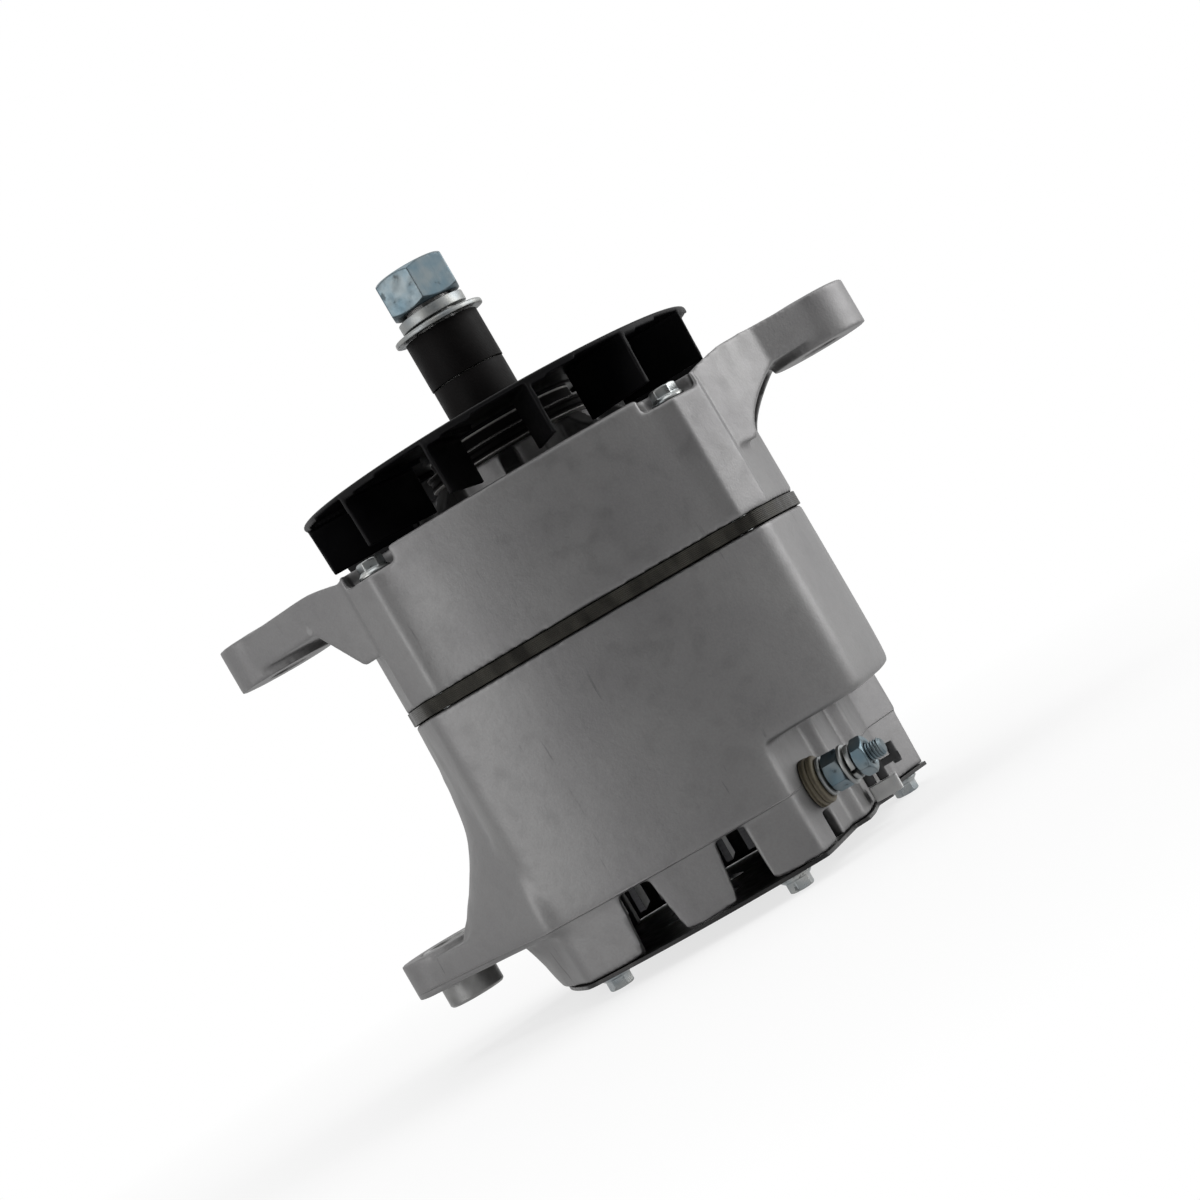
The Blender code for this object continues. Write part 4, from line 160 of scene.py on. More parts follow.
def deselect_all():
    if bpy.context.mode != "OBJECT":
        bpy.ops.object.mode_set(mode="OBJECT")
    bpy.ops.object.select_all(action="DESELECT")


def shader_material(name):
    """A new material with a Principled shader, and its node tree."""
    material = bpy.data.materials.new(name)
    material.use_nodes = True
    return material, material.node_tree


deselect_all()
bpy.ops.mesh.primitive_plane_add(size=floor_size, location=(0, 0, floor_height))
floor = bpy.context.object
floor.name = "floor"
floor_material, floor_tree = shader_material("pale_floor")
floor_shader = floor_tree.nodes["Principled BSDF"]
floor_shader.inputs["Base Color"].default_value = (0.93, 0.93, 0.93, 1)
floor_shader.inputs["Roughness"].default_value = 0.9
floor_shader.inputs["Specular IOR Level"].default_value = 0.1
floor_glow = floor_tree.nodes.new("ShaderNodeEmission")
floor_glow.inputs["Strength"].default_value = 1.0
floor_place = floor_tree.nodes.new("ShaderNodeTexCoord")
floor_distance = floor_tree.nodes.new("ShaderNodeVectorMath")
floor_distance.operation = "LENGTH"
floor_share = floor_tree.nodes.new("ShaderNodeMapRange")
floor_share.inputs["From Min"].default_value = floor_shadow_reach
floor_share.inputs["From Max"].default_value = floor_white_reach
floor_share.inputs["To Min"].default_value = floor_near_glow
floor_share.inputs["To Max"].default_value = 1.0
floor_path = floor_tree.nodes.new("ShaderNodeLightPath")
floor_mirrored = floor_tree.nodes.new("ShaderNodeMath")
floor_mirrored.operation = "MAXIMUM"
floor_seen = floor_tree.nodes.new("ShaderNodeMath")
floor_seen.operation = "MULTIPLY"
floor_mix = floor_tree.nodes.new("ShaderNodeMixShader")
floor_tree.links.new(floor_place.outputs["Object"], floor_distance.inputs[0])
floor_tree.links.new(floor_distance.outputs["Value"], floor_share.inputs["Value"])
floor_tree.links.new(floor_share.outputs["Result"], floor_seen.inputs[0])
floor_tree.links.new(floor_path.outputs["Is Glossy Ray"], floor_mirrored.inputs[0])
floor_tree.links.new(floor_path.outputs["Is Camera Ray"], floor_mirrored.inputs[1])
floor_tree.links.new(floor_mirrored.outputs[0], floor_seen.inputs[1])
floor_tree.links.new(floor_seen.outputs[0], floor_mix.inputs["Fac"])
floor_tree.links.new(floor_shader.outputs["BSDF"], floor_mix.inputs[1])
floor_tree.links.new(floor_glow.outputs["Emission"], floor_mix.inputs[2])
floor_tree.links.new(floor_mix.outputs["Shader"], floor_tree.nodes["Material Output"].inputs["Surface"])
floor.data.materials.append(floor_material)

card_material, card_tree = shader_material("dark_card")
card_tree.nodes["Principled BSDF"].inputs["Base Color"].default_value = (0.02, 0.02, 0.02, 1)
card_tree.nodes["Principled BSDF"].inputs["Roughness"].default_value = 0.9
for name, place, size in card_places:
    deselect_all()
    bpy.ops.mesh.primitive_plane_add(size=1, location=place)
    card = bpy.context.object
    card.name = name
    card.scale = (*size, 1)
    card.rotation_euler = (Vector(place) - camera_aim).to_track_quat("Z", "Y").to_euler()
    card.visible_camera = False
    card.visible_shadow = False
    card.visible_diffuse = False
    card.data.materials.append(card_material)

for name, place, size, power in lamp_places:
    lamp_data = bpy.data.lights.new(name, "AREA")
    lamp_data.shape = "RECTANGLE"
    lamp_data.size, lamp_data.size_y = size
    lamp_data.energy = power
    lamp = bpy.data.objects.new(name, lamp_data)
    lamp.location = place
    lamp.rotation_euler = (Vector(place) - camera_aim).to_track_quat("Z", "Y").to_euler()
    bpy.context.scene.collection.objects.link(lamp)
print("floor at", round(floor_height * 1000, 2), "mm,", len(lamp_places), "lamps,", len(card_places), "cards")

# %% [markdown]
# Every finish is built from a few wires that many finishes share: a noise read in Object coordinates, a ramp
# that turns it into a colour or a roughness, and a bump that rounds a solid's edges before it adds grain.

# %% Helpers for finishes
edge_round = 0.0005


def read_noise(tree, size, detail=3.0, stretch=(1, 1, 1)):
    """Noise whose blotches are about size across. Stretch lengthens them along an axis."""
    coordinates = tree.nodes.new("ShaderNodeTexCoord")
    mapping = tree.nodes.new("ShaderNodeMapping")
    mapping.inputs["Scale"].default_value = [1 / value for value in stretch]
    noise = tree.nodes.new("ShaderNodeTexNoise")
    noise.inputs["Scale"].default_value = 1 / size
    noise.inputs["Detail"].default_value = detail
    tree.links.new(coordinates.outputs["Object"], mapping.inputs["Vector"])
    tree.links.new(mapping.outputs["Vector"], noise.inputs["Vector"])
    return noise.outputs["Fac"]


def read_bands(tree, pitch, axis="Z", distortion=0.0):
    """Even bands across an axis, a pitch apart."""
    coordinates = tree.nodes.new("ShaderNodeTexCoord")
    wave = tree.nodes.new("ShaderNodeTexWave")
    wave.bands_direction = axis
    wave.inputs["Scale"].default_value = math.tau / 20 / pitch
    wave.inputs["Distortion"].default_value = distortion
    tree.links.new(coordinates.outputs["Object"], wave.inputs["Vector"])
    return wave.outputs["Fac"]


def read_line(tree, level, half_width):
    """One at a height, falling to zero within half_width above and below it."""
    coordinates = tree.nodes.new("ShaderNodeTexCoord")
    split = tree.nodes.new("ShaderNodeSeparateXYZ")
    compare = tree.nodes.new("ShaderNodeMath")
    compare.operation = "SUBTRACT"
    compare.inputs[1].default_value = level
    away = tree.nodes.new("ShaderNodeMath")
    away.operation = "ABSOLUTE"
    fall = tree.nodes.new("ShaderNodeMapRange")
    fall.inputs["From Max"].default_value = half_width
    fall.inputs["To Min"].default_value = 1.0
    fall.inputs["To Max"].default_value = 0.0
    tree.links.new(coordinates.outputs["Object"], split.inputs["Vector"])
    tree.links.new(split.outputs["Z"], compare.inputs[0])
    tree.links.new(compare.outputs[0], away.inputs[0])
    tree.links.new(away.outputs[0], fall.inputs["Value"])
    return fall.outputs["Result"]


def ramp(tree, factor, *stops):
    """Colour ramp over (position, colour) stops. A single number is a grey."""
    node = tree.nodes.new("ShaderNodeValToRGB")
    elements = node.color_ramp.elements
    while len(elements) < len(stops):
        elements.new(1.0)
    for element, (position, colour) in zip(elements, stops):
        element.position = position
        element.color = (colour, colour, colour, 1) if isinstance(colour, float) else (*colour, 1)
    tree.links.new(factor, node.inputs["Fac"])
    return node.outputs["Color"]


def blend_colours(tree, factor, first, second, kind="MIX"):
    """Mix of two colour wires or colours by a factor wire or number."""
    node = tree.nodes.new("ShaderNodeMix")
    node.data_type = "RGBA"
    node.blend_type = kind
    for socket, value in ((node.inputs[0], factor), (node.inputs[6], first), (node.inputs[7], second)):
        if isinstance(value, bpy.types.NodeSocket):
            tree.links.new(value, socket)
        elif isinstance(value, tuple):
            socket.default_value = (*value, 1)
        else:
            socket.default_value = value
    return node.outputs[2]


def add_bump(tree, layers, radius=edge_round):
    """Rounded edges, then one bump for each (height wire, depth) layer."""
    bevel = tree.nodes.new("ShaderNodeBevel")
    bevel.samples = 6
    bevel.inputs["Radius"].default_value = radius
    normal = bevel.outputs["Normal"]
    for height, depth in layers:
        bump = tree.nodes.new("ShaderNodeBump")
        bump.inputs["Distance"].default_value = depth
        tree.links.new(height, bump.inputs["Height"])
        tree.links.new(normal, bump.inputs["Normal"])
        normal = bump.outputs["Normal"]
    tree.links.new(normal, tree.nodes["Principled BSDF"].inputs["Normal"])


def set_shader(tree, colour, roughness, metallic):
    """Link or set the three main inputs of the shader."""
    shader = tree.nodes["Principled BSDF"]
    for name, value in (("Base Color", colour), ("Roughness", roughness), ("Metallic", metallic)):
        if isinstance(value, bpy.types.NodeSocket):
            tree.links.new(value, shader.inputs[name])
        elif isinstance(value, tuple):
            shader.inputs[name].default_value = (*value, 1)
        else:
            shader.inputs[name].default_value = value
    return shader

# %% [markdown]
# The housings are cast in aluminium and blasted, which leaves a fine matt grain, faint cloudy stains and a few
# upright scuffs. The convex edges are made lighter in colour, which is a painted highlight. The grain is bump
# and roughness; the stains and scuffs are colour. A thin flash line runs round the rear casting where its
# mould
# was parted: it is a bump, with a painted highlight along it.

# %% Cast aluminium
skirt_line = 0.0213
flash_width = 0.00035


def cast_aluminium():
    material, tree = shader_material("cast_aluminium")
    clouds = read_noise(tree, 0.034, 3)
    stains = read_noise(tree, 0.006, 5)
    grain = read_noise(tree, 0.0007, 3)
    pits = read_noise(tree, 0.0018, 2)
    flash = read_line(tree, skirt_line, flash_width)
    scuffs = read_noise(tree, 0.0030, 4, (1, 1, 9))
    base = ramp(tree, clouds, (0.30, (0.205, 0.202, 0.204)), (0.72, (0.240, 0.238, 0.237)))
    marks = ramp(tree, stains, (0.33, 0.93), (0.48, 1.0))
    fine = ramp(tree, grain, (0.30, 0.94), (0.70, 1.03))
    streaks = ramp(tree, scuffs, (0.24, 0.62), (0.30, 1.0))
    edges = tree.nodes.new("ShaderNodeNewGeometry").outputs["Pointiness"]
    # painted highlight: convex edges, found by Pointiness, are lighter in colour than the flat faces
    painted_edge_highlight = ramp(tree, edges, (0.52, 0.78), (0.60, 1.0))
    colour = blend_colours(tree, 1.0, blend_colours(tree, 1.0, base, marks, "MULTIPLY"), fine, "MULTIPLY")
    colour = blend_colours(tree, 1.0, colour, painted_edge_highlight, "MULTIPLY")
    colour = blend_colours(tree, 1.0, colour, streaks, "MULTIPLY")
    # painted highlight: the colour is lighter along the flash line
    colour = blend_colours(tree, 1.0, colour, ramp(tree, flash, (0.5, 1.0), (1.0, 1.25)), "MULTIPLY")
    roughness = ramp(tree, stains, (0.30, 0.50), (0.70, 0.60))
    add_bump(tree, ((clouds, 0.00015), (pits, 0.00005), (grain, 0.00004), (flash, 0.0003)))
    set_shader(tree, colour, roughness, 0.8)
    return material

# %% [markdown]
# The stator band is a stack of steel sheets, each about half a millimetre thick, dipped in varnish. Their
# edges show as fine lines round the machine, darker where varnish has run.

# %% Lamination band
sheet_pitch = 0.00055


def lamination_steel():
    material, tree = shader_material("lamination_steel")
    sheets = read_bands(tree, sheet_pitch)
    runs = read_noise(tree, 0.006, 4, (1, 1, 3))
    base = ramp(tree, runs, (0.35, (0.012, 0.011, 0.009)), (0.65, (0.046, 0.044, 0.037)))
    lines = ramp(tree, sheets, (0.20, 0.55), (0.60, 1.0))
    colour = blend_colours(tree, 1.0, base, lines, "MULTIPLY")
    add_bump(tree, ((sheets, 0.00012),), 0.0002)
    shader = set_shader(tree, colour, ramp(tree, runs, (0.3, 0.38), (0.7, 0.62)), 0.6)
    shader.inputs["Specular IOR Level"].default_value = 0.2
    return material

# %% [markdown]
# The fan is dipped in black enamel. It has a soft gloss with a faint orange-peel ripple, and dust has dulled
# it in patches.

# %% Black enamel


def black_enamel():
    material, tree = shader_material("black_enamel")
    ripple = read_noise(tree, 0.0022, 2)
    dust = read_noise(tree, 0.016, 5)
    colour = ramp(tree, dust, (0.35, (0.0022, 0.0022, 0.0026)), (0.75, (0.0055, 0.0052, 0.0058)))
    roughness = ramp(tree, dust, (0.30, 0.40), (0.72, 0.56))
    add_bump(tree, ((ripple, 0.00006),), 0.0004)
    shader = set_shader(tree, colour, roughness, 0.0)
    shader.inputs["Specular IOR Level"].default_value = 0.08
    return material

# %% [markdown]
# The two rings in the pulley's place are turned steel with a dark phosphate coat: a charcoal grey with a
# warm cast and fine turning lines. The hub behind the fan has the same coat, with painted highlights as bright
# metal bands round its rims.

# %% Phosphated steel
hub_rims = (0.1577, 0.1625, 0.1665)
rim_width = 0.0005


def phosphated_steel(name="phosphated_steel", rims=()):
    """Dark coat, with a painted highlight: a bright metal band at the height of each rim."""
    material, tree = shader_material(name)
    turning = read_bands(tree, 0.00045)
    cloud = read_noise(tree, 0.006, 5)
    crystals = read_noise(tree, 0.0003, 2)
    colour = ramp(tree, cloud, (0.30, (0.0020, 0.0017, 0.0017)), (0.72, (0.0050, 0.0043, 0.0043)))
    add_bump(tree, ((turning, 0.00003), (crystals, 0.00003)), 0.0003)
    # painted highlight: a bright metal band at each rim height
    for level in rims:
        colour = blend_colours(tree, read_line(tree, level, rim_width), colour, (0.62, 0.61, 0.59))
    metallic = ramp(tree, colour, (0.02, 0.15), (0.30, 1.0)) if rims else 0.15
    shader = set_shader(tree, colour, ramp(tree, cloud, (0.3, 0.52), (0.7, 0.66)), metallic)
    shader.inputs["Specular IOR Level"].default_value = 0.07
    return material

# %% [markdown]
# Nuts, washers and screws carry bright zinc plate. Its clear passivation is slightly blue, turns a warmer grey
# in random patches, is darker on convex edges and corners, and keeps dark smudges from the spanner and from
# oil. The pressed washers are paler, and the small rolled bolts are shinier than the nuts.

# %% Zinc plate


def zinc_plate(name="zinc_plate", cool=(0.098, 0.142, 0.168), warm=(0.150, 0.176, 0.186), smudge=0.45,
               dull=0.56, shine=0.42):
    material, tree = shader_material(name)
    patches = read_noise(tree, 0.0060, 2)
    smudges = read_noise(tree, 0.0034, 5)
    scratches = read_noise(tree, 0.0009, 3, (1, 1, 6))
    base = ramp(tree, patches, (0.36, cool), (0.66, warm))
    dirt = ramp(tree, smudges, (0.27, smudge), (0.36, 1.0))
    edges = tree.nodes.new("ShaderNodeNewGeometry").outputs["Pointiness"]
    # darker on convex edges and corners, found by Pointiness
    worn = ramp(tree, edges, (0.505, 1.0), (0.56, 0.42))
    colour = blend_colours(tree, 1.0, base, dirt, "MULTIPLY")
    colour = blend_colours(tree, 1.0, colour, worn, "MULTIPLY")
    roughness = ramp(tree, smudges, (0.32, dull), (0.60, shine))
    add_bump(tree, ((patches, 0.00004), (scratches, 0.00002)), 0.0003)
    set_shader(tree, colour, roughness, 0.9)
    return material

# %% [markdown]
# Ground and turned steel inside the machine is plain: a little oil, faint tool lines and a narrow range of
# greys. The cover sheet is a dark coated steel, and part of its near-black grey is painted shade, which keeps
# the inside of the machine dark.

# %% Bare and plated steel


def turned_steel(name="bright_steel", dark=0.13, light=0.24, shine=0.30):
    material, tree = shader_material(name)
    oil = read_noise(tree, 0.009, 5)
    lines = read_bands(tree, 0.0004, "Z", 0.4)
    colour = ramp(tree, oil, (0.32, (dark, dark, dark * 0.98)), (0.66, (light, light, light * 0.99)))
    add_bump(tree, ((lines, 0.00002),), 0.0003)
    set_shader(tree, colour, ramp(tree, oil, (0.3, shine + 0.18), (0.7, shine)), 0.95)
    return material


def coated_sheet():
    material, tree = shader_material("coated_sheet")
    cloud = read_noise(tree, 0.018, 5)
    spangle = read_noise(tree, 0.0035, 2)
    # partly painted shade: the sheet is darker than its coat, so that the inside of the machine stays dark
    colour = ramp(tree, cloud, (0.32, (0.020, 0.020, 0.021)), (0.70, (0.045, 0.044, 0.043)))
    add_bump(tree, ((spangle, 0.00004),), 0.0002)
    set_shader(tree, colour, ramp(tree, spangle, (0.3, 0.34), (0.7, 0.50)), 0.85)
    return material

# %% [markdown]
# Windings are enamelled copper wire under varnish. Object coordinates give them fine strands that run round
# the shaft; the varnish is darker where it has pooled.

# %% Windings, brass and insulation


def enamelled_copper():
    material, tree = shader_material("enamelled_copper")
    strands = read_bands(tree, 0.0011, "Z", 1.2)
    pools = read_noise(tree, 0.008, 4)
    base = ramp(tree, pools, (0.30, (0.14, 0.035, 0.012)), (0.66, (0.42, 0.13, 0.04)))
    lines = ramp(tree, strands, (0.10, 0.35), (0.55, 1.0))
    colour = blend_colours(tree, 1.0, base, lines, "MULTIPLY")
    add_bump(tree, ((strands, 0.0004),), 0.0003)
    shader = set_shader(tree, colour, ramp(tree, pools, (0.3, 0.22), (0.7, 0.40)), 0.55)
    shader.inputs["Coat Weight"].default_value = 0.4
    shader.inputs["Coat Roughness"].default_value = 0.2
    return material


def dull_brass():
    material, tree = shader_material("claw_ring_metal")
    tarnish = read_noise(tree, 0.006, 5)
    colour = ramp(tree, tarnish, (0.32, (0.22, 0.13, 0.045)), (0.68, (0.52, 0.36, 0.13)))
    add_bump(tree, ((tarnish, 0.00005),), 0.0003)
    set_shader(tree, colour, ramp(tree, tarnish, (0.3, 0.50), (0.7, 0.32)), 0.9)
    return material


def laminated_insulator():
    """Paper and resin layers that are pressed together, seen from their edges."""
    material, tree = shader_material("laminated_insulator")
    coordinates = tree.nodes.new("ShaderNodeTexCoord")
    mapping = tree.nodes.new("ShaderNodeMapping")
    mapping.inputs["Rotation"].default_value = (0, 0, math.atan2(0.281, 0.960))
    wave = tree.nodes.new("ShaderNodeTexWave")
    wave.bands_direction = "X"
    wave.inputs["Scale"].default_value = math.tau / 20 / 0.0013
    wave.inputs["Distortion"].default_value = 1.4
    wave.inputs["Detail"].default_value = 3.0
    tree.links.new(coordinates.outputs["Object"], mapping.inputs["Vector"])
    tree.links.new(mapping.outputs["Vector"], wave.inputs["Vector"])
    layers = wave.outputs["Fac"]
    fibre = read_noise(tree, 0.0008, 5)
    base = ramp(tree, layers, (0.20, (0.082, 0.067, 0.041)), (0.75, (0.126, 0.107, 0.069)))
    colour = blend_colours(tree, 1.0, base, ramp(tree, fibre, (0.3, 0.75), (0.7, 1.0)), "MULTIPLY")
    add_bump(tree, ((layers, 0.00015), (fibre, 0.00005)), 0.0003)
    set_shader(tree, colour, 0.62, 0.0)
    return material


def moulded_plastic(name, dark, light, roughness):
    material, tree = shader_material(name)
    cloud = read_noise(tree, 0.006, 4)
    grain = read_noise(tree, 0.0004, 2)
    colour = ramp(tree, cloud, (0.30, dark), (0.70, light))
    add_bump(tree, ((grain, 0.00004),), 0.0003)
    set_shader(tree, colour, ramp(tree, cloud, (0.3, roughness), (0.7, roughness + 0.12)), 0.0)
    return material


def sink_aluminium():
    material, tree = shader_material("sink_aluminium")
    drawn = read_noise(tree, 0.0007, 3, (8, 1, 1))
    # partly painted shade: the sink's near-black grey stands in part for the shade deep inside the skirt
    # windows
    colour = ramp(tree, drawn, (0.30, (0.060, 0.060, 0.064)), (0.70, (0.095, 0.095, 0.100)))
    add_bump(tree, ((drawn, 0.00003),), 0.0003)
    set_shader(tree, colour, ramp(tree, drawn, (0.3, 0.34), (0.7, 0.46)), 0.9)
    return material


finishes = {
    "cast_aluminium": cast_aluminium(),
    "lamination_steel": lamination_steel(),
    "black_enamel": black_enamel(),
    "phosphated_steel": phosphated_steel(),
    "painted_highlight_hub_steel": phosphated_steel("painted_highlight_hub_steel", hub_rims),
    "zinc_plate": zinc_plate(),
    "pressed_zinc": zinc_plate("pressed_zinc", (0.330, 0.355, 0.365), (0.420, 0.425, 0.410), 0.6),
    "rolled_zinc": zinc_plate("rolled_zinc", (0.260, 0.290, 0.305), (0.370, 0.375, 0.365), 0.5, 0.42, 0.26),
    "bright_steel": turned_steel(),
    "coated_sheet": coated_sheet(),
    "enamelled_copper": enamelled_copper(),
    "claw_ring_metal": dull_brass(),
    "laminated_insulator": laminated_insulator(),
    "black_plastic": moulded_plastic("black_plastic", (0.008, 0.008, 0.009), (0.020, 0.020, 0.021), 0.42),
    "pale_plastic": moulded_plastic("pale_plastic", (0.42, 0.42, 0.42), (0.55, 0.55, 0.54), 0.45),
    "sink_aluminium": sink_aluminium(),
}
print(len(finishes), "finishes")

# %% [markdown]
# The record says which finish every solid has, so the solids are dressed by a loop over its subparts. A solid
# that a finer piece takes the place of is dressed too, because the piece reads its finish there.

# %% Dress the solids
slot_of = {}
for subpart in frame["record"]["subparts"]:
    slot_of[subpart["node"]] = subpart["material_slot"]
    solid = frame["nodes"][subpart["node"]]
    solid.data.materials.clear()
    solid.data.materials.append(finishes[subpart["material_slot"]])
print("dressed", len(slot_of), "solids")

# %% [markdown]
# The solids are made of flat facets with sharp edges. Every piece below is a finer one that takes a solid's
# place. Some start as a merged copy of the solid, and the others start as a primitive. A few helpers do the
# steps that all of them share: apply a modifier, smooth, and hand the piece over to the solid's body.

# %% Helpers for pieces
merge_distance = 0.01 * millimetre
sharp_angle = math.radians(28)


def edit(piece, mode="FACE"):
    """Opens one piece in edit mode with everything selected."""
    deselect_all()
    piece.select_set(True)
    bpy.context.view_layer.objects.active = piece
    bpy.ops.object.mode_set(mode="EDIT")
    bpy.ops.mesh.select_mode(type=mode)
    bpy.ops.mesh.select_all(action="SELECT")


def copy_solid(node, name):
    """A copy of a solid with its loose triangles merged into faces."""
    piece = bpy.data.objects.new(name, frame["nodes"][node].data.copy())
    bpy.context.scene.collection.objects.link(piece)
    edit(piece)
    bpy.ops.mesh.remove_doubles(threshold=merge_distance)
    bpy.ops.mesh.tris_convert_to_quads(face_threshold=math.radians(1.5), shape_threshold=math.radians(60))
    bpy.ops.object.mode_set(mode="OBJECT")
    return piece


def apply_modifier(piece, kind, **settings):
    deselect_all()
    piece.select_set(True)
    bpy.context.view_layer.objects.active = piece
    modifier = piece.modifiers.new(kind.lower(), kind)
    for name, value in settings.items():
        setattr(modifier, name, value)
    bpy.ops.object.modifier_apply(modifier=modifier.name)


def round_facets(piece, levels=2):
    """Subdivides facets into a smooth curve, and keeps the sharp edges by creasing them."""
    edit(piece, "EDGE")
    bpy.ops.mesh.select_all(action="DESELECT")
    bpy.ops.mesh.edges_select_sharp(sharpness=sharp_angle)
    bpy.ops.transform.edge_crease(value=1)
    bpy.ops.object.mode_set(mode="OBJECT")
    apply_modifier(piece, "SUBSURF", levels=levels, render_levels=levels)


def wear_edges(piece, grid, rounds=2):
    """Remeshes a piece on a fine grid and relaxes it, which fuses its bodies and rounds every edge."""
    apply_modifier(piece, "REMESH", mode="VOXEL", voxel_size=grid)
    apply_modifier(piece, "SMOOTH", factor=0.5, iterations=rounds)


def thin_out(piece, limit):
    """Takes out the triangles over the limit, first where the surface is flat."""
    triangles = 2 * len(piece.data.polygons)
    if triangles > limit:
        apply_modifier(piece, "DECIMATE", ratio=limit / triangles)


def shade(piece, angle=180):
    deselect_all()
    piece.select_set(True)
    bpy.context.view_layer.objects.active = piece
    if angle == 180:
        bpy.ops.object.shade_smooth()
    else:
        bpy.ops.object.shade_smooth_by_angle(angle=math.radians(angle))


def stand_for(piece, node, finish=None):
    """The piece takes the solid's place, its body and, unless one is named, its finish."""
    piece.data.materials.clear()
    piece.data.materials.append(finishes[finish or slot_of[node]])
    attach(piece, frame["nodes"][node]["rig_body"])
    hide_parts(node)
    print(piece.name, "has", len(piece.data.polygons), "faces")

# %% [markdown]
# The two housings are castings. Nothing on a casting is sharp: every edge has a radius of a millimetre or so,
# and ribs and ears run into the walls with a small fillet. A copy of each solid is subdivided until its
# facets are gone, then remeshed on a fine grid and relaxed, which gives those radii all over in one step.
# Three skirt windows of the solid are partly closed by a thin film, so a block clears each of them first. The
# root of the hinge foot runs into the body in a wide sweep, so it is relaxed much longer than the rest.

# %% Housings
casting_grid = 0.8 * millimetre
casting_limit = 170000

casting_rounds = 3
root_rounds = 50
root_place = Vector((-62, 50, 34)) * millimetre
root_reach = 34 * millimetre
window_bottom = -1.0 * millimetre
window_top = 20.8 * millimetre
film_outside = 64.0 * millimetre
film_inside = 58.5 * millimetre
skirt_windows = (
    (-1, -37.7, -36.2, -25.6, -22.8),
    (1, -34.3, -32.2, -21.8, -19.7),
    (1, 14.7, 16.8, 27.2, 29.3),
)


def open_window(casting, side, places):
    """Clears the full depth of one skirt window with a block that narrows upward."""
    left_foot, left_top, right_top, right_foot = [place * millimetre for place in places]
    deselect_all()
    bpy.ops.mesh.primitive_cube_add(size=1)
    block = bpy.context.object
    for vertex in block.data.vertices:
        x, y, z = vertex.co
        foot_x, top_x = (left_foot, left_top) if x < 0 else (right_foot, right_top)
        depth = film_outside if side * y > 0 else film_inside
        vertex.co = (top_x, side * depth, window_top) if z > 0 else (foot_x, side * depth, window_bottom)
    apply_modifier(casting, "BOOLEAN", operation="DIFFERENCE", solver="EXACT", object=block)
    bpy.data.objects.remove(block)


def soften(casting, place, reach, rounds):
    """Relaxes a casting more near a place, less with distance and not at all beyond its reach."""
    group = casting.vertex_groups.new(name="root")
    for vertex in casting.data.vertices:
        weight = 1 - (vertex.co - place).length / reach
        if weight > 0:
            group.add([vertex.index], min(1.0, 2 * weight), "REPLACE")
    apply_modifier(casting, "SMOOTH", factor=0.5, iterations=rounds, vertex_group=group.name)


for node in ("front_housing", "rear_housing"):
    casting = copy_solid(node, node + "_casting")
    if node == "rear_housing":
        for side, *places in skirt_windows:
            open_window(casting, side, places)
    round_facets(casting)
    wear_edges(casting, casting_grid, casting_rounds)
    if node == "rear_housing":
        for side in (1, -1):
            place = Vector((root_place.x, side * root_place.y, root_place.z))
            soften(casting, place, root_reach, root_rounds)
    thin_out(casting, casting_limit)
    shade(casting)
    stand_for(casting, node)

# %% [markdown]
# The fan is one pressing with blades spot-welded to its disc. Its paint softens the sheet edges. It is made
# as the castings are, on a grid fine enough for sheet metal.

# %% Cooling fan
sheet_grid = 0.45 * millimetre
sheet_limit = 150000

fan = copy_solid("cooling_fan", "cooling_fan_painted")
round_facets(fan)
wear_edges(fan, sheet_grid)
thin_out(fan, sheet_limit)
shade(fan)
stand_for(fan, "cooling_fan")

# %% [markdown]
# Rings are turned on a lathe, so they are made as on one. The outline of the section is drawn as a loop of
# vertices, starting from a circle, and spun about the shaft. A bevel breaks the edges as the turner would.

# %% Turned rings
ring_steps = 96


def turn_ring(name, outline, break_edge=0.25 * millimetre, steps=ring_steps):
    """A ring about Z from the (radius, height) points of its section."""
    deselect_all()
    bpy.ops.mesh.primitive_circle_add(vertices=len(outline), radius=millimetre)
    ring = bpy.context.object
    ring.name = name
    for vertex, (radius, height) in zip(ring.data.vertices, outline):
        vertex.co = (radius, 0, height)
    edit(ring, "VERT")
    bpy.ops.mesh.spin(steps=steps, angle=math.tau, center=(0, 0, 0), axis=(0, 0, 1))
    bpy.ops.mesh.select_all(action="SELECT")
    bpy.ops.mesh.remove_doubles(threshold=merge_distance)
    bpy.ops.mesh.normals_make_consistent(inside=False)
    bpy.ops.object.mode_set(mode="OBJECT")
    if break_edge:
        apply_modifier(ring, "BEVEL", width=break_edge, segments=2,
                       limit_method="ANGLE", angle_limit=sharp_angle)
    return ring


def move_piece(piece, place, turn=0.0):
    """Moves a piece and applies the move, so that the object stays at the origin."""
    deselect_all()
    piece.select_set(True)
    bpy.context.view_layer.objects.active = piece
    piece.location = place
    piece.rotation_euler.z = turn
    bpy.ops.object.transform_apply(location=True, rotation=True, scale=True)


shaft_bore = 11.4 * millimetre
slinger_radius = 29.0 * millimetre
spacer_edge = 0.2 * millimetre
for node, outer in (("rear_pulley_spacer", 12.7 * millimetre), ("front_pulley_spacer", 13.0 * millimetre)):
    low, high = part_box(node)
    ring = turn_ring(node + "_turned", (
        (shaft_bore, low.z), (outer, low.z), (outer, high.z), (shaft_bore, high.z)), spacer_edge)
    shade(ring, 30)
    stand_for(ring, node)

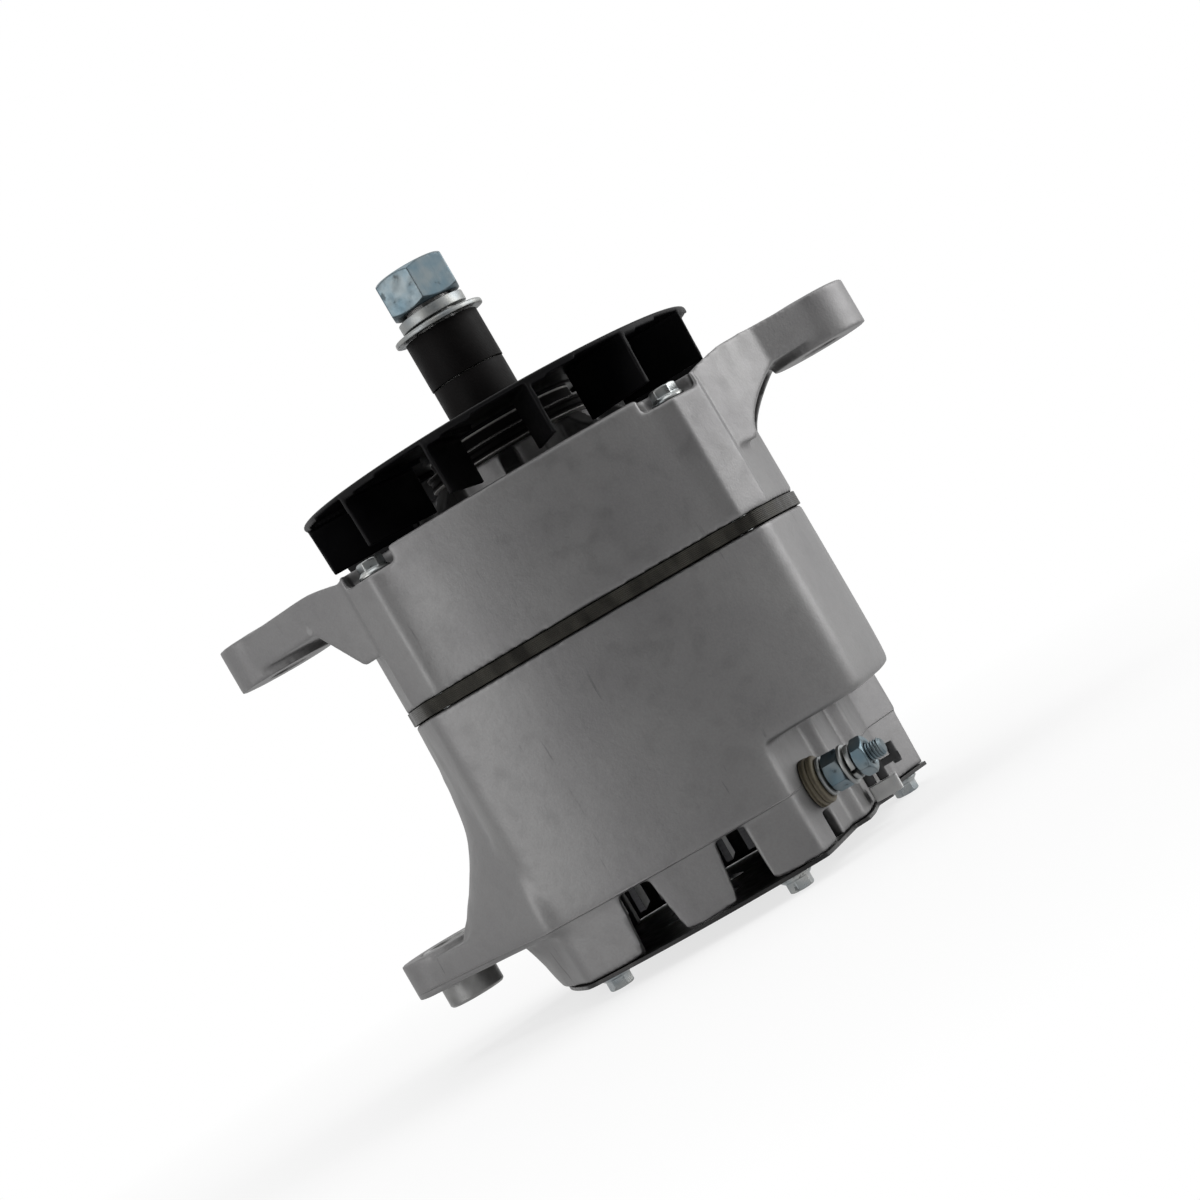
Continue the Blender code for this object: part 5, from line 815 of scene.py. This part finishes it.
low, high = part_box("fan_hub_spacer")
hub_neck = 17.0 * millimetre
hub_radius = 25.6 * millimetre
hub_step = high.z - 4.4 * millimetre
slinger_low = hub_step - 4.8 * millimetre
hub_groove = 1.2 * millimetre
hub = turn_ring("fan_hub_spacer_turned", (
    (shaft_bore, low.z), (hub_neck, low.z), (hub_neck, slinger_low), (slinger_radius, slinger_low),
    (slinger_radius, slinger_low + hub_groove),
    (slinger_radius - hub_groove / 2, slinger_low + hub_groove * 1.4),
    (slinger_radius - hub_groove / 2, hub_step - hub_groove * 1.4), (slinger_radius, hub_step - hub_groove),
    (slinger_radius, hub_step), (hub_radius, hub_step), (hub_radius, high.z), (shaft_bore, high.z)))
shade(hub, 30)
# the hub's finish has painted highlights on its rims
stand_for(hub, "fan_hub_spacer", "painted_highlight_hub_steel")

low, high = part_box("foot_slide_bushing")
bushing_bore = 6.4 * millimetre
bushing_radius = 9.8 * millimetre
bushing_chamfer = 0.7 * millimetre
bushing = turn_ring("foot_slide_bushing_turned", (
    (bushing_bore + bushing_chamfer, low.z), (bushing_radius - bushing_chamfer, low.z),
    (bushing_radius, low.z + bushing_chamfer), (bushing_radius, high.z - bushing_chamfer),
    (bushing_radius - bushing_chamfer, high.z), (bushing_bore + bushing_chamfer, high.z),
    (bushing_bore, high.z - bushing_chamfer), (bushing_bore, low.z + bushing_chamfer)), 0.15 * millimetre)
move_piece(bushing, ((low.x + high.x) / 2, 0, 0))
shade(bushing, 30)
stand_for(bushing, "foot_slide_bushing")

low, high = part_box("shaft_flat_washer")
washer_bore = 8.2 * millimetre
washer_radius = high.x
washer_cup = 0.8 * millimetre
flat_washer = turn_ring("shaft_flat_washer_punched", (
    (washer_bore, low.z + washer_cup), (washer_radius * 0.70, low.z + washer_cup),
    (washer_radius * 0.88, low.z + washer_cup * 0.45), (washer_radius, low.z),
    (washer_radius, high.z - washer_cup), (washer_radius * 0.88, high.z - washer_cup * 0.5),
    (washer_radius * 0.70, high.z), (washer_bore, high.z)), 0.5 * millimetre)
shade(flat_washer, 40)
stand_for(flat_washer, "shaft_flat_washer", "pressed_zinc")

# %% [markdown]
# A spring lock washer is a square wire wound for not quite one turn, and its ends stand a little apart. The
# section is spun for that angle, and every vertex is then raised in step with its angle.

# %% Lock washers
washer_slit = math.radians(14)


def wind_washer(name, inner, outer, thickness, rise, broken_edge):
    """A lock washer about Z that starts at height 0."""
    deselect_all()
    bpy.ops.mesh.primitive_circle_add(vertices=4, radius=millimetre, fill_type="NGON")
    washer = bpy.context.object
    washer.name = name
    outline = ((inner, 0), (outer, 0), (outer, thickness), (inner, thickness))
    for vertex, (radius, height) in zip(washer.data.vertices, outline):
        vertex.co = (radius, 0, height)
    edit(washer)
    bpy.ops.mesh.spin(steps=ring_steps, angle=math.tau - washer_slit, center=(0, 0, 0), axis=(0, 0, 1))
    bpy.ops.mesh.select_all(action="SELECT")
    bpy.ops.mesh.remove_doubles(threshold=merge_distance)
    bpy.ops.mesh.normals_make_consistent(inside=False)
    bpy.ops.object.mode_set(mode="OBJECT")
    for vertex in washer.data.vertices:
        around = math.atan2(vertex.co.y, vertex.co.x) % math.tau
        if around > math.tau - 0.001:
            around = 0
        vertex.co.z += rise * around / (math.tau - washer_slit)
    apply_modifier(washer, "BEVEL", width=broken_edge, segments=2,
                   limit_method="ANGLE", angle_limit=math.radians(40))
    return washer


lock_radius = 11.8 * millimetre
lock_thickness = 3.5 * millimetre
lock_rise = 1.3 * millimetre
low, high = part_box("shaft_lock_washer")
lock_washer = wind_washer("shaft_lock_washer_wound", washer_bore, lock_radius,
                          lock_thickness, lock_rise, 0.3 * millimetre)
move_piece(lock_washer, (0, 0, low.z), math.radians(165))
shade(lock_washer, 35)
stand_for(lock_washer, "shaft_lock_washer", "pressed_zinc")

# %% [markdown]
# A nut is a hexagon bar whose ends are turned to a cone, which leaves curved edges on the six flats. Here a
# six-sided cylinder is cut to what it has in common with a turned barrel. Tumbling and the spanner have worn
# the edges, so it is remeshed and relaxed as the castings are.

# %% Nuts and bolt heads


def hexagon_bar(name, flats, low, high):
    deselect_all()
    bpy.ops.mesh.primitive_cylinder_add(vertices=6, radius=flats / math.sqrt(3), depth=high - low,
                                        location=(0, 0, (low + high) / 2))
    bar = bpy.context.object
    bar.name = name
    bpy.ops.object.transform_apply(location=True, rotation=True, scale=True)
    return bar


def cut_hexagon(name, flats, low, high, chamfer, bore=0.0):
    """Hexagon with coned ends, and with a bore if one is given."""
    bar = hexagon_bar(name, flats, low, high)
    corner = flats / math.sqrt(3)
    full = corner + chamfer
    drop = chamfer * (full - flats / 2) / (full - corner) * 0.7
    lead = 0.8 * chamfer if bore else 0.0
    outline = [(flats * 0.475, low), (full, low + drop), (full, high - drop), (flats * 0.475, high)]
    if bore:
        outline += [(bore + lead, high), (bore, high - lead), (bore, low + lead), (bore + lead, low)]
    else:
        outline += [(0, high), (0, low)]
    barrel = turn_ring(name + "_barrel", outline, 0)
    apply_modifier(bar, "BOOLEAN", operation="INTERSECT", solver="EXACT", object=barrel)
    bpy.data.objects.remove(barrel)
    return bar


def fuse(pieces, name):
    """Joins pieces into one object. Their bodies still overlap until they are remeshed."""
    deselect_all()
    for piece in pieces:
        piece.select_set(True)
    bpy.context.view_layer.objects.active = pieces[0]
    bpy.ops.object.join()
    pieces[0].name = name
    return pieces[0]


nut_turn = math.radians(-86.3)
low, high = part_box("shaft_nut")
nut_flats = 23.8 * millimetre
nut_chamfer = 1.9 * millimetre
nut_grid = 0.22 * millimetre
nut_limit = 60000
nut = cut_hexagon("shaft_nut_worn", nut_flats, low.z, high.z, nut_chamfer, washer_bore)
move_piece(nut, (0, 0, 0), nut_turn + math.radians(30))
wear_edges(nut, nut_grid, 6)
thin_out(nut, nut_limit)
shade(nut)
stand_for(nut, "shaft_nut")

# %% [markdown]
# The through bolts and the cover screws have a hexagon on a flange, in one forging. Head, flange and shank
# are made apart, overlap, and are fused by the remesh. One bolt and one screw are made, then copied.

# %% Bolts and screws
bolt_grid = 0.2 * millimetre
bolt_limit = 16000


def flanged_bolt(name, flats, head, flange, flange_height, shank, length):
    """Head up, shank down, with the seat at height 0."""
    hexagon = cut_hexagon(name + "_head", flats, flange_height * 0.4, head, flats * 0.07)
    body = turn_ring(name, ((0, -length), (shank * 0.8, -length), (shank, shank * 0.2 - length), (shank, 0),
                            (flange, 0), (flange, flange_height * 0.5), (flange * 0.82, flange_height * 1.15),
                            (0, flange_height * 1.3)), 0, 48)
    bolt = fuse([body, hexagon], name)
    wear_edges(bolt, bolt_grid)
    thin_out(bolt, bolt_limit)
    shade(bolt)
    return bolt


bolt_head = 4.9 * millimetre
low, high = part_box("through_bolt_1")
bolt = flanged_bolt("through_bolt", 8.0 * millimetre, bolt_head, 5.6 * millimetre, 1.4 * millimetre,
                    3.0 * millimetre, high.z - low.z - bolt_head)
bolt_turns = (0.60, 0.90, 0.44, 1.30)
for number, turn in enumerate(bolt_turns, 1):
    node = "through_bolt_%d" % number
    low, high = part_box(node)
    piece = bpy.data.objects.new(node + "_forged", bolt.data.copy())
    bpy.context.scene.collection.objects.link(piece)
    move_piece(piece, ((low.x + high.x) / 2, (low.y + high.y) / 2, high.z - bolt_head), turn)
    stand_for(piece, node, "rolled_zinc")
bpy.data.objects.remove(bolt)

screw_head = 5.1 * millimetre
low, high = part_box("cover_screw_1")
screw = flanged_bolt("cover_screw", 7.4 * millimetre, screw_head, 5.4 * millimetre, 1.4 * millimetre,
                     2.1 * millimetre, high.z - low.z - screw_head)
screw.rotation_euler.x = math.pi
deselect_all()
screw.select_set(True)
bpy.context.view_layer.objects.active = screw
bpy.ops.object.transform_apply(location=True, rotation=True, scale=True)
screw_turns = (0.50, 0.80, 0.56, 0.45, 0.35)
for number, turn in enumerate(screw_turns, 1):
    node = "cover_screw_%d" % number
    low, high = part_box(node)
    piece = bpy.data.objects.new(node + "_forged", screw.data.copy())
    bpy.context.scene.collection.objects.link(piece)
    move_piece(piece, ((low.x + high.x) / 2, (low.y + high.y) / 2, low.z + screw_head), turn)
    stand_for(piece, node, "rolled_zinc")
bpy.data.objects.remove(screw)

# %% [markdown]
# The output terminal is a stud through the pocket's wall. Its pieces are made upright on Z, one above the
# other, and then laid on the stud's own axis. The stud's thread is a real helix: a cylinder of many short
# rings, whose vertices go in and out with their height and their angle.

# %% Output terminal
terminal_place = Vector((30.566, -49.094, 19.7)) * millimetre
terminal_axis = Vector((0.959777, -0.280765, 0))
terminal_side = Vector((-terminal_axis.y, terminal_axis.x, 0))
terminal_up = terminal_axis.cross(terminal_side)
terminal_turn = Matrix((terminal_side, terminal_up, terminal_axis)).transposed().to_4x4()
terminal_bore = 3.4 * millimetre


def lay_on_terminal(piece):
    deselect_all()
    piece.select_set(True)
    bpy.context.view_layer.objects.active = piece
    piece.matrix_world = Matrix.Translation(terminal_place) @ terminal_turn
    bpy.ops.object.transform_apply(location=True, rotation=True, scale=True)


def threaded_rod(name, radius, low, high, pitch, depth, around=40, rings_per_turn=8):
    """Rod about Z with a helical thread and a coned end."""
    deselect_all()
    bpy.ops.mesh.primitive_circle_add(vertices=around, radius=radius, fill_type="NGON", location=(0, 0, low))
    rod = bpy.context.object
    rod.name = name
    bpy.ops.object.transform_apply(location=True, rotation=True, scale=True)
    edit(rod)
    step = pitch / rings_per_turn
    rings = round((high - low) / step)
    for _ in range(rings):
        bpy.ops.mesh.extrude_region_move(TRANSFORM_OT_translate={"value": (0, 0, (high - low) / rings)})
    bpy.ops.mesh.select_all(action="SELECT")
    bpy.ops.mesh.normals_make_consistent(inside=False)
    bpy.ops.object.mode_set(mode="OBJECT")
    for vertex in rod.data.vertices:
        angle = math.atan2(vertex.co.y, vertex.co.x) / math.tau
        phase = ((vertex.co.z - low) / pitch - angle) % 1.0
        cut = depth * min(1.0, 1.35 * abs(2 * phase - 1))
        cone = max(0.0, vertex.co.z - (high - 0.8 * millimetre))
        share = (radius - max(cut, cone + depth * 0.3 if cone else 0.0)) / radius
        vertex.co.x *= share
        vertex.co.y *= share
    return rod


terminal_flats = 11.0 * millimetre
stud_radius = 3.1 * millimetre
stud_start = -6.8 * millimetre
stud_end = 26.0 * millimetre
head_low = -8.3 * millimetre
head_high = -3.8 * millimetre
thread_pitch = 1.0 * millimetre
thread_depth = 0.45 * millimetre
stud_head = cut_hexagon("stud_head", terminal_flats, head_low, head_high, 0.7 * millimetre)
stud = threaded_rod("output_stud_threaded", stud_radius, stud_start, stud_end,
                    thread_pitch, thread_depth)
apply_modifier(stud, "BOOLEAN", operation="UNION", solver="EXACT", object=stud_head)
bpy.data.objects.remove(stud_head)
lay_on_terminal(stud)
shade(stud, 30)
stand_for(stud, "output_stud")

insulator_radius = 8.1 * millimetre
insulator_low = 0.3 * millimetre
insulator_high = 4.7 * millimetre
insulator_groove = 0.5 * millimetre
upper_layer_radius = insulator_radius - 0.2 * millimetre
insulator = turn_ring("output_insulator_pressed", (
    (terminal_bore, insulator_low), (insulator_radius, insulator_low),
    (insulator_radius, 2.2 * millimetre), (insulator_radius - insulator_groove, 2.5 * millimetre),
    (upper_layer_radius, 2.8 * millimetre), (upper_layer_radius, 3.9 * millimetre),
    (insulator_radius - 1.0 * millimetre, insulator_high), (terminal_bore, insulator_high)))
lay_on_terminal(insulator)
shade(insulator, 30)
stand_for(insulator, "output_insulator")

terminal_washer_radius = 6.5 * millimetre
terminal_washer_sheet = 1.2 * millimetre
terminal_washers = (("output_inner_washer", 5.0 * millimetre), ("output_outer_washer", 12.8 * millimetre))
for node, level in terminal_washers:
    top = level + terminal_washer_sheet
    washer = turn_ring(node + "_punched", (
        (terminal_bore, level), (terminal_washer_radius, level), (terminal_washer_radius, top),
        (terminal_bore, top)), 0.3 * millimetre)
    lay_on_terminal(washer)
    shade(washer, 40)
    stand_for(washer, node, "pressed_zinc")

terminal_lock_level = 14.3 * millimetre
terminal_lock = wind_washer("output_lock_washer_wound", terminal_bore, 5.6 * millimetre,
                            1.6 * millimetre, 0.5 * millimetre, 0.15 * millimetre)
move_piece(terminal_lock, (0, 0, terminal_lock_level), math.radians(200))
lay_on_terminal(terminal_lock)
shade(terminal_lock, 35)
stand_for(terminal_lock, "output_lock_washer", "pressed_zinc")

terminal_nuts = (("output_inner_nut", 6.5 * millimetre, 12.5 * millimetre),
                 ("output_outer_nut", 16.7 * millimetre, 21.2 * millimetre))
for node, low_level, high_level in terminal_nuts:
    terminal_nut = cut_hexagon(node + "_worn", terminal_flats, low_level, high_level,
                               0.8 * millimetre, terminal_bore)
    wear_edges(terminal_nut, 0.16 * millimetre)
    thin_out(terminal_nut, 24000)
    lay_on_terminal(terminal_nut)
    shade(terminal_nut)
    stand_for(terminal_nut, node)

# %% [markdown]
# The small black terminal in the pocket and its pale base are mouldings with soft edges. The cover and the
# lamination stack are pressed sheet: their facets are rounded, and their cut edges stay sharp.

# %% Mouldings and sheet pieces
for node, grid in (("relay_terminal", 0.16 * millimetre), ("relay_terminal_base", 0.2 * millimetre)):
    moulding = copy_solid(node, node + "_moulded")
    round_facets(moulding, 1)
    wear_edges(moulding, grid, 4)
    thin_out(moulding, 16000)
    shade(moulding)
    stand_for(moulding, node)

for node in ("rear_cover", "stator_core"):
    sheet = copy_solid(node, node + "_pressed")
    round_facets(sheet)
    shade(sheet, 28)
    stand_for(sheet, node)
